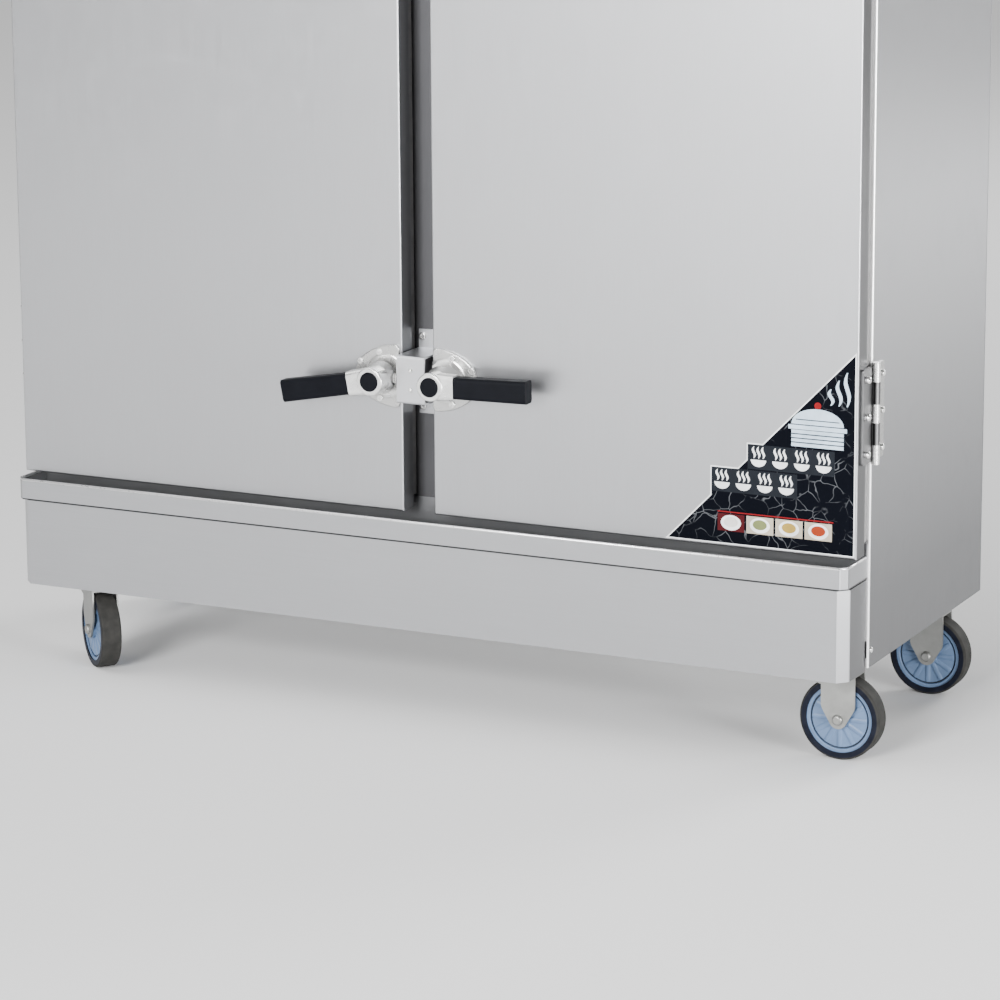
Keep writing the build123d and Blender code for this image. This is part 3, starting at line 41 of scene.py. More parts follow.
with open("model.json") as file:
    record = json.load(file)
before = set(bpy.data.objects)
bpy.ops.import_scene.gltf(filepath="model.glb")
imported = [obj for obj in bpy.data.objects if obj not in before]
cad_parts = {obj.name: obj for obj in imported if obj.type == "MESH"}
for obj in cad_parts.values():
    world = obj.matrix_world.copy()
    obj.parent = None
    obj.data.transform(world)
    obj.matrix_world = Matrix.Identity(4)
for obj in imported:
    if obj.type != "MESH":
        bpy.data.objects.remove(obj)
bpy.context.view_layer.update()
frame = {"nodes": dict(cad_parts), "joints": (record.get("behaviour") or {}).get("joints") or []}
NODES = frame["nodes"]

MM = 0.001
LEVELS = ("lower", "upper")
# Each side's way along X
SIDES = {"left": -1.0, "right": 1.0}
CASTERS = ("front_right", "front_left", "rear_right", "rear_left")

# Places taken from the loaded model
DOOR_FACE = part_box("right_door_skin")[0].y
TYRE_LOW, TYRE_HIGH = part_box("front_right_wheel_tyre")
WHEEL_RADIUS = (TYRE_HIGH.z - TYRE_LOW.z) / 2
SKIRT_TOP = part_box("skirt_panel")[1].z
TROUGH_SEAM = SKIRT_TOP + 1.8 * MM


# Settings ------------------------------------------------------------------


def tint_field(name, description, default):
    """Colour in a group of settings."""
    return bpy.props.FloatVectorProperty(name=name, description=description, subtype="COLOR", size=3,
                                         min=0.0, max=1.0, default=default)


class SteamerFinish(bpy.types.PropertyGroup):
    """Settings of the metals and plastics"""
    steel_tint: tint_field("Steel Tint", "Colour of the brushed sheets", (0.435, 0.44, 0.455))
    steel_roughness: bpy.props.FloatProperty(
        name="Steel Roughness", description="How dull the sheets' brushing is", default=0.32,
        min=0.05, max=1.0, subtype="FACTOR")
    grain: bpy.props.FloatProperty(
        name="Grain", description="Depth of the brushing lines", default=0.06, min=0.0, max=1.0,
        subtype="FACTOR")
    cast_tint: tint_field("Casting Tint", "Colour of the latch castings", (0.83, 0.83, 0.82))
    rim_tint: tint_field("Wheel Tint", "Colour of the moulded wheel centres", (0.098, 0.155, 0.262))


class SteamerPrint(bpy.types.PropertyGroup):
    """Settings of the door print"""
    film: bpy.props.FloatProperty(
        name="Film", description="Thickness of one layer of the door print", default=0.2 * MM,
        unit="LENGTH", min=0.0)
    edging: bpy.props.FloatProperty(
        name="Edging", description="Width of the print's white edge", default=2.0 * MM, unit="LENGTH",
        min=0.0)
    film_tint: tint_field("Film Tint", "Colour of the print's dark field", (0.0022, 0.0028, 0.005))
    vein_tint: tint_field("Vein Tint", "Colour of the cracks in the dark field", (0.10, 0.105, 0.115))
    ink_tint: tint_field("Ink Tint", "Colour of the pale marks", (0.80, 0.81, 0.82))


class SteamerStudio(bpy.types.PropertyGroup):
    """Settings of the floor, the lights and the camera"""
    floor_tint: tint_field("Floor Tint", "Colour of the plain floor", (0.92, 0.92, 0.92))
    world_light: bpy.props.FloatProperty(
        name="Room Light", description="Brightness of the even light from all round", default=0.28,
        min=0.0)
    wall_light: bpy.props.FloatProperty(
        name="Wall Light", description="Brightness of the pale room wall that the camera sees", default=1.1,
        min=0.0)
    sky_power: bpy.props.FloatProperty(
        name="Ceiling Power", description="Strength of the wide soft light from the ceiling", default=1.5,
        min=0.0)
    light_power: bpy.props.FloatProperty(
        name="Light Power", description="Power that the large lights share", default=1000.0, min=0.0,
        subtype="POWER")
    camera_place: bpy.props.FloatVectorProperty(
        name="Camera Place", description="Where the camera stands", subtype="TRANSLATION", size=3,
        unit="LENGTH", default=(2.6890, -5.1625 + DOOR_FACE, 1.7162))
    camera_turn: bpy.props.FloatVectorProperty(
        name="Camera Turn", description="Pitch below level, roll and yaw of the camera",
        subtype="EULER", size=3, default=(math.radians(11.721), math.radians(-0.303),
                                          math.radians(25.928)))
    lens: bpy.props.FloatProperty(
        name="Lens", description="Focal length on the 36 mm sensor", default=135.70, unit="CAMERA",
        min=1.0)


def finish_settings():
    """The scene's settings of its finishes."""
    return bpy.context.scene.steamer_finish


def print_settings():
    """The scene's settings of the print."""
    return bpy.context.scene.steamer_print


# Mesh helpers --------------------------------------------------------------


def new_piece(name, points, faces, material, smooth=False):
    """Object at the origin, with the points and faces as its mesh, linked into the scene."""
    mesh = bpy.data.meshes.new(name)
    mesh.from_pydata(points, [], faces)
    mesh.materials.append(material)
    if smooth:
        mesh.shade_smooth()
    mesh.update()
    piece = bpy.data.objects.new(name, mesh)
    bpy.context.scene.collection.objects.link(piece)
    return piece


def plates(name, outlines, face, lift, thickness, material):
    """Flat plates on an upright face that looks towards -Y, as one closed mesh.

    Each outline is points (x, z) in order round the plate. The plate's back stands lift in front of the
    face and its front is thickness further out: the ring of points is repeated at both depths and
    joined by quads, and both rings are closed.
    """
    points, faces = [], []
    for outline in outlines:
        outline = np.asarray(outline, float)
        turned = np.roll(outline, -1, axis=0)
        if np.sum(outline[:, 0] * turned[:, 1] - turned[:, 0] * outline[:, 1]) < 0:
            outline = outline[::-1]
        count = len(outline)
        start = sum(len(part) for part in points)
        for depth in (lift + thickness, lift):
            points.append(np.stack([outline[:, 0], np.full(count, face - depth), outline[:, 1]], axis=1))
        ring = np.arange(count)
        after = np.roll(ring, -1)
        sides = np.stack([ring, ring + count, after + count, after], axis=1) + start
        faces += [list(ring + start), list((ring + count + start)[::-1])] + sides.tolist()
    return new_piece(name, np.concatenate(points), faces, material)


def grown(outline, by):
    """Outline moved outwards by a distance: each corner goes along (n1 + n2) / (1 + n1.n2)."""
    outline = np.asarray(outline, float)
    edge = np.roll(outline, -1, axis=0) - outline
    normal = np.stack([edge[:, 1], -edge[:, 0]], axis=1) / np.linalg.norm(edge, axis=1)[:, None]
    before = np.roll(normal, 1, axis=0)
    corner = (normal + before) / (1 + np.sum(normal * before, axis=1))[:, None]
    return outline + corner * by


def rolled_edge(name, path, z, radius, material, around=20):
    """Round bead carried level along an open path of points (x, y), with mitred corners.

    With n the corner's outward offset from its two edges' normals, (n1 + n2) / (1 + n1.n2), the surface is
    path + n R cos(a) at height z + R sin(a), with a going once round.
    """
    path = np.asarray(path, float)
    edge = np.diff(path, axis=0)
    normal = np.stack([edge[:, 1], -edge[:, 0]], axis=1) / np.linalg.norm(edge, axis=1)[:, None]
    before = np.concatenate([normal[:1], normal])
    after = np.concatenate([normal, normal[-1:]])
    mitre = (before + after) / (1 + np.sum(before * after, axis=1))[:, None]
    turn = np.linspace(0.0, 2 * math.pi, around, endpoint=False)
    plan = path[:, None, :] + mitre[:, None, :] * (radius * np.cos(turn))[None, :, None]
    height = np.broadcast_to(z + radius * np.sin(turn), plan.shape[:2])
    points = np.concatenate([plan, height[..., None]], axis=2).reshape(-1, 3)
    index = np.arange(len(path) * around).reshape(len(path), around)
    ahead = np.roll(index, -1, axis=1)
    quads = np.stack([index[:-1], index[1:], ahead[1:], ahead[:-1]], axis=-1).reshape(-1, 4)
    faces = quads.tolist() + [index[0].tolist(), index[-1][::-1].tolist()]
    return new_piece(name, points, faces, material, smooth=True)


def rectangle(x0, x1, z0, z1):
    """Corners of an upright rectangle, in order round it."""
    return np.array([(x0, z0), (x1, z0), (x1, z1), (x0, z1)])


def disc(x, z, radius, share=1.0, squeeze=1.0, count=40):
    """Circle or its upper part: share of a full turn from the right, squeezed in height."""
    turn = np.linspace(0.0, share * 2 * math.pi, count, endpoint=share < 1.0)
    return np.stack([x + radius * np.cos(turn), z + radius * squeeze * np.sin(turn)], axis=1)


def wisp(x, z0, z1, sway, width, count=28):
    """Upright wavy stroke: x + sway sin(2 pi t), its width times 1/4 + 3/4 sin(pi t)."""
    t = np.linspace(0.0, 1.0, count)
    middle = x + sway * np.sin(2 * math.pi * t)
    half = width / 2 * (0.25 + 0.75 * np.sin(math.pi * t))
    z = z0 + (z1 - z0) * t
    left = np.stack([middle - half, z], axis=1)
    right = np.stack([middle + half, z], axis=1)
    return np.concatenate([right, left[::-1]])


# Shader groups -------------------------------------------------------------


def node(tree, kind, sockets=None, **values):
    """New node with its plain properties and its input sockets set."""
    made = tree.nodes.new(kind)
    for key, value in values.items():
        setattr(made, key, value)
    for label, value in (sockets or {}).items():
        made.inputs[label].default_value = value
    return made


def group_tree(name, inputs, outputs):
    """Empty shader node group with its sockets, and its input and output nodes."""
    tree = bpy.data.node_groups.new(name, "ShaderNodeTree")
    for label, kind, value in inputs:
        socket = tree.interface.new_socket(name=label, in_out="INPUT", socket_type=kind)
        if value is not None:
            socket.default_value = value
    for label, kind in outputs:
        tree.interface.new_socket(name=label, in_out="OUTPUT", socket_type=kind)
    return tree, tree.nodes.new("NodeGroupInput"), tree.nodes.new("NodeGroupOutput")


def grain_group():
    """Brushing lines: noise on a position stretched along the grain, with slow clouds over it."""
    name = "Brushed Grain"
    if name in bpy.data.node_groups:
        return bpy.data.node_groups[name]
    tree, start, end = group_tree(
        name,
        [("Position", "NodeSocketVector", None), ("Lines", "NodeSocketVector", (6.0, 6.0, 6.0)),
         ("Cloud Scale", "NodeSocketFloat", 2.2)],
        [("Grain", "NodeSocketFloat"), ("Cloud", "NodeSocketFloat"), ("Smudge", "NodeSocketFloat")])
    stretch = node(tree, "ShaderNodeVectorMath", operation="MULTIPLY")
    lines = node(tree, "ShaderNodeTexNoise", {"Scale": 1.0, "Detail": 5.0, "Roughness": 0.62})
    cloud = node(tree, "ShaderNodeTexNoise", {"Detail": 2.0})
    smudge = node(tree, "ShaderNodeTexNoise",
                  {"Scale": 14.0, "Detail": 6.0, "Roughness": 0.7, "Distortion": 0.6})
    ramp = node(tree, "ShaderNodeMapRange", {"From Min": 0.52, "From Max": 0.78})
    link = tree.links.new
    link(start.outputs["Position"], stretch.inputs[0])
    link(start.outputs["Lines"], stretch.inputs[1])
    link(stretch.outputs[0], lines.inputs["Vector"])
    link(start.outputs["Position"], cloud.inputs["Vector"])
    link(start.outputs["Cloud Scale"], cloud.inputs["Scale"])
    link(start.outputs["Position"], smudge.inputs["Vector"])
    link(smudge.outputs["Fac"], ramp.inputs["Value"])
    link(lines.outputs["Fac"], end.inputs["Grain"])
    link(cloud.outputs["Fac"], end.inputs["Cloud"])
    link(ramp.outputs["Result"], end.inputs["Smudge"])
    return tree


def speckle_group():
    """Fine grain of cast and moulded skins: two noises, one fine for bumps and one coarse for tone."""
    name = "Moulded Grain"
    if name in bpy.data.node_groups:
        return bpy.data.node_groups[name]
    tree, start, end = group_tree(
        name,
        [("Position", "NodeSocketVector", None), ("Fine Scale", "NodeSocketFloat", 900.0),
         ("Coarse Scale", "NodeSocketFloat", 30.0)],
        [("Fine", "NodeSocketFloat"), ("Tone", "NodeSocketFloat")])
    link = tree.links.new
    for label, scale, detail in (("Fine", "Fine Scale", 2.0), ("Tone", "Coarse Scale", 4.0)):
        noise = node(tree, "ShaderNodeTexNoise", {"Detail": detail})
        link(start.outputs["Position"], noise.inputs["Vector"])
        link(start.outputs[scale], noise.inputs["Scale"])
        link(noise.outputs["Fac"], end.inputs[label])
    return tree


def wheel_group():
    """Distance from a wheel's axle, the length of (position - middle) x axle direction."""
    name = "Round The Axle"
    if name in bpy.data.node_groups:
        return bpy.data.node_groups[name]
    tree, start, end = group_tree(
        name,
        [("Position", "NodeSocketVector", None), ("Middle", "NodeSocketVector", None),
         ("Axle", "NodeSocketVector", (0.0, 1.0, 0.0))],
        [("Radius", "NodeSocketFloat")])
    away = node(tree, "ShaderNodeVectorMath", operation="SUBTRACT")
    cross = node(tree, "ShaderNodeVectorMath", operation="CROSS_PRODUCT")
    size = node(tree, "ShaderNodeVectorMath", operation="LENGTH")
    link = tree.links.new
    link(start.outputs["Position"], away.inputs[0])
    link(start.outputs["Middle"], away.inputs[1])
    link(away.outputs[0], cross.inputs[0])
    link(start.outputs["Axle"], cross.inputs[1])
    link(cross.outputs[0], size.inputs[0])
    link(size.outputs["Value"], end.inputs["Radius"])
    return tree


# The part of a noise's range that most of its values lie in
MIDDLE = (0.3, 0.7)
# How deep the relief of smooth skins, fine skins, brushed sheets and foam cells is
SMOOTH_RELIEF, SKIN_RELIEF, SHEET_RELIEF, CELL_RELIEF = 0.0002, 0.0003, 0.0004, 0.001


class Finish:
    """One material being put together: its tree, its Principled shader and its position socket."""

    def __init__(self, name, **sockets):
        self.material = bpy.data.materials.new(name)
        self.material.use_nodes = True
        self.tree = self.material.node_tree
        self.shader = self.tree.nodes["Principled BSDF"]
        coordinates = self.tree.nodes.new("ShaderNodeTexCoord")
        self.position = coordinates.outputs["Object"]
        for label, value in sockets.items():
            self.shader.inputs[label.replace("_", " ")].default_value = value

    def link(self, output, target):
        """Joins an output to a socket, or to the shader's socket of that name."""
        if isinstance(target, str):
            target = self.shader.inputs[target]
        self.tree.links.new(output, target)

    def group(self, tree, **values):
        """Places a node group, with its values, on the object's position."""
        made = node(self.tree, "ShaderNodeGroup", node_tree=tree)
        for label, value in values.items():
            made.inputs[label.replace("_", " ")].default_value = value
        self.link(self.position, made.inputs["Position"])
        return made

    def span(self, output, low, high, source=(0.0, 1.0)):
        """The output's values carried from the source range to low and high."""
        made = node(self.tree, "ShaderNodeMapRange", {
            "From Min": source[0], "From Max": source[1], "To Min": low, "To Max": high})
        self.link(output, made.inputs["Value"])
        return made.outputs["Result"]

    def mix(self, factor, first, second):
        """Colour between two others, which are colours or outputs."""
        made = node(self.tree, "ShaderNodeMix", data_type="RGBA")
        for value, socket in ((factor, made.inputs[0]), (first, made.inputs[6]), (second, made.inputs[7])):
            if isinstance(value, bpy.types.NodeSocket):
                self.link(value, socket)
            elif socket == made.inputs[0]:
                socket.default_value = value
            else:
                socket.default_value = (*value[:3], 1.0)
        return made.outputs[2]

    def math(self, operation, first, second):
        """Sum, product or the like of two numbers or outputs."""
        made = node(self.tree, "ShaderNodeMath", operation=operation)
        for value, socket in ((first, made.inputs[0]), (second, made.inputs[1])):
            if isinstance(value, bpy.types.NodeSocket):
                self.link(value, socket)
            else:
                socket.default_value = value
        return made.outputs[0]

    def beyond(self, axis, start, end):
        """Mask that rises from 0 to 1 between two places along an axis of the object."""
        split = node(self.tree, "ShaderNodeSeparateXYZ")
        self.link(self.position, split.inputs[0])
        return self.span(split.outputs[axis], 0.0, 1.0, (start, end))

    def bands(self, base, tint, shaded):
        """Base colour, with the tint times a factor past two places along an axis, for each of shaded."""
        for axis, start, end, factor in shaded:
            base = self.mix(self.beyond(axis, start, end), base, shade(tint, factor))
        return base

    def mottle(self, output, tint, dark, light, source=MIDDLE):
        """Tint that a noise varies between two factors of it."""
        return self.mix(self.span(output, 0.0, 1.0, source), shade(tint, dark), shade(tint, light))

    def dull(self, output, low, high):
        """Roughness that a noise varies from low to high."""
        self.link(self.span(output, low, high, MIDDLE), "Roughness")

    def bump(self, height, strength, distance):
        """Relief from a height, with its strength and its depth in metres."""
        made = node(self.tree, "ShaderNodeBump", {"Strength": strength, "Distance": distance})
        self.link(height, made.inputs["Height"])
        self.link(made.outputs["Normal"], "Normal")


def shade(colour, factor):
    """Colour made darker or lighter by a factor."""
    return tuple(min(1.0, channel * factor) for channel in colour)


def band(axis, origin, edges):
    """Shaded band along an axis: edges holds its start and end from the origin, and its factor."""
    start, end, factor = edges
    return axis, origin + start, origin + end, factor


# Finishes ------------------------------------------------------------------

# Places on a wheel as shares of its radius: where the running band starts, and the rim's groove with
# half its width
TREAD_SHARES = (0.940, 0.957)
GROOVE_SHARES = (0.7115, 0.0192)
# Where the groove's painted shade starts and ends, as shares of half its width
GROOVE_FADE_SHARES = (0.85, 1.1)

# Dark and light colours of the tyre's sides, its running band and the foam
TYRE_SIDES = ((0.0035, 0.0045, 0.010), (0.008, 0.010, 0.018))
TYRE_BAND = ((0.020, 0.020, 0.019), (0.032, 0.031, 0.029))
FOAM_TINTS = ((0.72, 0.64, 0.40), (0.84, 0.78, 0.56))
ZINC_TINT = (0.27, 0.272, 0.262)

# Painted shade on the latch's base plate, which is darker than the lever from its front face back
LATCH_PLATE = (-6.7 * MM, -6.1 * MM, 0.66)

# How close the brushing lines are: few along the grain and many across it
GRAIN_LINES = {"x": (9.0, 1400.0, 1400.0), "z": (1400.0, 1400.0, 9.0)}


def ready(name):
    """Material of that name, if it is made already."""
    return bpy.data.materials.get(name)


def sheet_steel(along, brightness=1.0, shaded=(), name=None, anisotropy=0.35):
    """Brushed stainless sheet with its grain along one axis.

    Each of shaded is an axis, two places along it and a factor: past them the sheet is as much darker or
    brighter. These bands are painted shade and painted highlight: painted shade on folded edges behind a
    face, in gaps and seams, inside the trough and low on the walls, and a painted highlight on the walls'
    front edges. Level sheets take no anisotropy: it turns round Z and would draw a star.
    """
    name = name or f"brushed_sheet_{along}"
    if ready(name):
        return ready(name)
    look = finish_settings()
    tint = shade(look.steel_tint, brightness)
    made = Finish(name, Metallic=0.92, Specular_IOR_Level=0.5, Anisotropic=anisotropy)
    grain = made.group(grain_group(), Lines=GRAIN_LINES[along])
    lines = made.mottle(grain.outputs["Grain"], tint, 0.955, 1.03)
    clouded = made.mix(made.span(grain.outputs["Cloud"], 0.0, 0.35, (0.35, 0.7)), lines, shade(tint, 0.95))
    base = made.mix(made.span(grain.outputs["Smudge"], 0.0, 0.10), clouded, shade(tint, 0.86))
    # The shaded bands lay painted shade and painted highlight over the sheet's colour
    made.link(made.bands(base, tint, shaded), "Base Color")
    rough = made.span(grain.outputs["Grain"], look.steel_roughness - 0.04, look.steel_roughness + 0.05,
                      MIDDLE)
    made.link(made.math("ADD", rough, made.span(grain.outputs["Smudge"], 0.0, 0.05)), "Roughness")
    made.bump(grain.outputs["Grain"], look.grain, SHEET_RELIEF)
    return made.material


def mill_steel(name="mill_sheet", tint=(0.36, 0.36, 0.37), roughness=0.40):
    """Duller inner sheet with faint steam marks."""
    if ready(name):
        return ready(name)
    made = Finish(name, Metallic=0.9)
    grain = made.group(grain_group(), Lines=(20.0, 20.0, 700.0), Cloud_Scale=6.0)
    base = made.mottle(grain.outputs["Cloud"], tint, 0.95, 1.04)
    made.link(made.mix(made.span(grain.outputs["Smudge"], 0.0, 0.12), base, shade(tint, 0.75)),
              "Base Color")
    made.dull(grain.outputs["Cloud"], roughness - 0.03, roughness + 0.04)
    made.bump(grain.outputs["Grain"], 0.05, SHEET_RELIEF)
    return made.material


def cast_metal():
    """Satin cast latch metal, nearly white and duller in patches, with painted shade on its base plate."""
    name = "satin_casting"
    if ready(name):
        return ready(name)
    tint = tuple(finish_settings().cast_tint)
    made = Finish(name, Metallic=0.88, Specular_IOR_Level=0.3)
    grain = made.group(speckle_group(), Fine_Scale=700.0, Coarse_Scale=45.0)
    cast = made.mottle(grain.outputs["Tone"], tint, 0.92, 1.04, (0.35, 0.65))
    # Painted shade on the base plate near the door
    made.link(made.bands(cast, tint, [band("Y", DOOR_FACE, LATCH_PLATE)]), "Base Color")
    made.dull(grain.outputs["Tone"], 0.22, 0.34)
    made.bump(grain.outputs["Fine"], 0.05, SKIN_RELIEF)
    return made.material


def bright_metal(name="bright_fixings", tint=(0.72, 0.72, 0.71), roughness=0.26, shaded=()):
    """Plated screws, bolts and hinges; shaded bands are given as for the sheets."""
    if ready(name):
        return ready(name)
    made = Finish(name, Metallic=1.0)
    grain = made.group(speckle_group(), Fine_Scale=1200.0, Coarse_Scale=160.0)
    base = made.mix(grain.outputs["Tone"], shade(tint, 0.85), shade(tint, 1.08))
    made.link(made.bands(base, tint, shaded), "Base Color")
    made.dull(grain.outputs["Tone"], roughness - 0.06, roughness + 0.1)
    made.bump(grain.outputs["Fine"], 0.04, SMOOTH_RELIEF)
    return made.material


def zinc_plate():
    """Dull zinc of the casters' forks and plates, with a faint spangle."""
    name = "zinc_plate"
    if ready(name):
        return ready(name)
    made = Finish(name, Metallic=0.75)
    grain = made.group(speckle_group(), Fine_Scale=500.0, Coarse_Scale=60.0)
    cells = node(made.tree, "ShaderNodeTexVoronoi", {"Scale": 160.0})
    made.link(made.position, cells.inputs["Vector"])
    base = made.mottle(grain.outputs["Tone"], ZINC_TINT, 0.9, 1.07)
    made.link(made.mix(made.span(cells.outputs["Distance"], 0.0, 0.18), base, shade(ZINC_TINT, 1.2)),
              "Base Color")
    made.dull(grain.outputs["Tone"], 0.36, 0.5)
    made.bump(grain.outputs["Fine"], 0.06, SKIN_RELIEF)
    return made.material


def moulded(name, tint, roughness=0.5, grain_depth=0.12, gloss=0.45):
    """Moulded plastic or rubber with a fine skin."""
    if ready(name):
        return ready(name)
    made = Finish(name, Specular_IOR_Level=gloss)
    grain = made.group(speckle_group(), Fine_Scale=1500.0, Coarse_Scale=50.0)
    made.link(made.mottle(grain.outputs["Tone"], tint, 0.86, 1.12), "Base Color")
    made.dull(grain.outputs["Tone"], roughness - 0.06, roughness + 0.07)
    made.bump(grain.outputs["Fine"], grain_depth, SKIN_RELIEF)
    return made.material


def ink(name, tint, grain_depth=0.03):
    """Half matt printed ink, nearly smooth."""
    return moulded(name, tint, 0.5, grain_depth, 0.1)


def wheel_facts(name):
    """Axle middle and direction of one caster's wheel, from the joint that it rolls on."""
    joint = next(j for j in frame["joints"] if j["name"] == f"{name}_wheel_roll")
    return Vector(joint["pos_m"]), Vector(joint["axis"])


def tread_rubber(name):
    """Tyre: dark sides with a paler, dusty running band, worked out from the distance to the axle."""
    middle, axle = wheel_facts(name)
    made = Finish(f"{name}_tread", Specular_IOR_Level=0.1)
    grain = made.group(speckle_group(), Fine_Scale=900.0, Coarse_Scale=70.0)
    polar = made.group(wheel_group(), Middle=middle, Axle=axle)
    running = made.span(polar.outputs["Radius"], 0.0, 1.0,
                        tuple(share * WHEEL_RADIUS for share in TREAD_SHARES))
    side, worn = (made.mix(made.span(grain.outputs["Tone"], 0.0, 1.0, MIDDLE), *tints)
                  for tints in (TYRE_SIDES, TYRE_BAND))
    made.link(made.mix(running, side, worn), "Base Color")
    made.link(made.span(running, 0.42, 0.72), "Roughness")
    made.bump(grain.outputs["Fine"], 0.15, SKIN_RELIEF)
    return made.material


def rim_plastic(name):
    """Wheel centre: pale steel blue, with painted shade that makes it nearly black in the outer groove."""
    middle, axle = wheel_facts(name)
    tint = tuple(finish_settings().rim_tint)
    made = Finish(f"{name}_rim_blue", Specular_IOR_Level=0.35)
    grain = made.group(speckle_group(), Fine_Scale=900.0, Coarse_Scale=40.0)
    polar = made.group(wheel_group(), Middle=middle, Axle=axle)
    middle_radius, half_width = (share * WHEEL_RADIUS for share in GROOVE_SHARES)
    away = made.math("ABSOLUTE", made.math("SUBTRACT", polar.outputs["Radius"], middle_radius), 0.0)
    groove = made.span(away, 1.0, 0.0, tuple(share * half_width for share in GROOVE_FADE_SHARES))
    base = made.mottle(grain.outputs["Tone"], tint, 0.9, 1.12)
    # Painted shade in the rim's outer groove
    made.link(made.mix(groove, base, shade(tint, 0.12)), "Base Color")
    made.dull(grain.outputs["Tone"], 0.3, 0.42)
    made.bump(grain.outputs["Fine"], 0.05, SKIN_RELIEF)
    return made.material


def print_film():
    """Dark vinyl of the door print with thin cracks, the edges between the cells of a bent Voronoi."""
    name = "print_film"
    if ready(name):
        return ready(name)
    look = print_settings()
    made = Finish(name, Roughness=0.42, Specular_IOR_Level=0.02)
    grain = made.group(speckle_group(), Fine_Scale=1600.0, Coarse_Scale=26.0)
    bend = node(made.tree, "ShaderNodeTexNoise", {"Scale": 30.0})
    made.link(made.position, bend.inputs["Vector"])
    sway = node(made.tree, "ShaderNodeVectorMath", {"Scale": 0.02}, operation="SCALE")
    made.link(bend.outputs["Color"], sway.inputs[0])
    bent = node(made.tree, "ShaderNodeVectorMath", operation="ADD")
    made.link(made.position, bent.inputs[0])
    made.link(sway.outputs[0], bent.inputs[1])
    cells = node(made.tree, "ShaderNodeTexVoronoi", {"Scale": 42.0}, feature="DISTANCE_TO_EDGE")
    made.link(bent.outputs[0], cells.inputs["Vector"])
    crack = made.span(cells.outputs["Distance"], 1.0, 0.0, (0.006, 0.028))
    patch = made.span(grain.outputs["Tone"], 0.0, 0.9, (0.44, 0.58))
    veins = made.math("MULTIPLY", crack, patch)
    made.link(made.mix(veins, tuple(look.film_tint), tuple(look.vein_tint)), "Base Color")
    made.bump(grain.outputs["Fine"], 0.03, SMOOTH_RELIEF)
    return made.material


def foam():
    """Closed-cell insulation."""
    name = "insulation_foam"
    if ready(name):
        return ready(name)
    made = Finish(name, Roughness=0.9)
    cells = node(made.tree, "ShaderNodeTexVoronoi", {"Scale": 500.0})
    made.link(made.position, cells.inputs["Vector"])
    grain = made.group(speckle_group(), Coarse_Scale=18.0)
    made.link(made.mix(grain.outputs["Tone"], *FOAM_TINTS), "Base Color")
    made.bump(cells.outputs["Distance"], 0.4, CELL_RELIEF)
    return made.material


def dress(names, material):
    """Gives CAD nodes their material."""
    for name in names:
        slots = NODES[name].data.materials
        slots.clear()
        slots.append(material)


# Operators -----------------------------------------------------------------

# Painted shade and painted highlight on the case's sheets, each band with its start, its end and its
# factor:
# painted shade on the side wall's lower part and a painted highlight on its front edge, painted shade on
# the trough's front edge, inside and seam, and painted shade on the skirt's returned ends and seam
WALL_FADE = (0.85, 0.25, 0.40)
WALL_EDGE = (3.2 * MM, 2.6 * MM, 2.3)
TROUGH_FRONT = (1.0 * MM, 1.4 * MM, 0.72)
TROUGH_INSIDE = (14.0 * MM, 20.0 * MM, 0.84)
TROUGH_LINE = (2.2 * MM, 1.7 * MM, 0.10)
SKIRT_ENDS = (20.0 * MM, 23.0 * MM, 0.38)
SKIRT_LINE = (-0.9 * MM, -0.4 * MM, 0.12)

# Trough's rolled edge: its radius, how far it stands proud, the corner's chamfer, the lip's height below
# the back flange, and how far short of the trough's back it ends
HEM_RADIUS = 2.3 * MM
HEM_PROUD = 0.8 * MM
TROUGH_CORNER = 10.0 * MM
LIP_BELOW_BACK = 19.0 * MM
HEM_END = 2.0 * MM


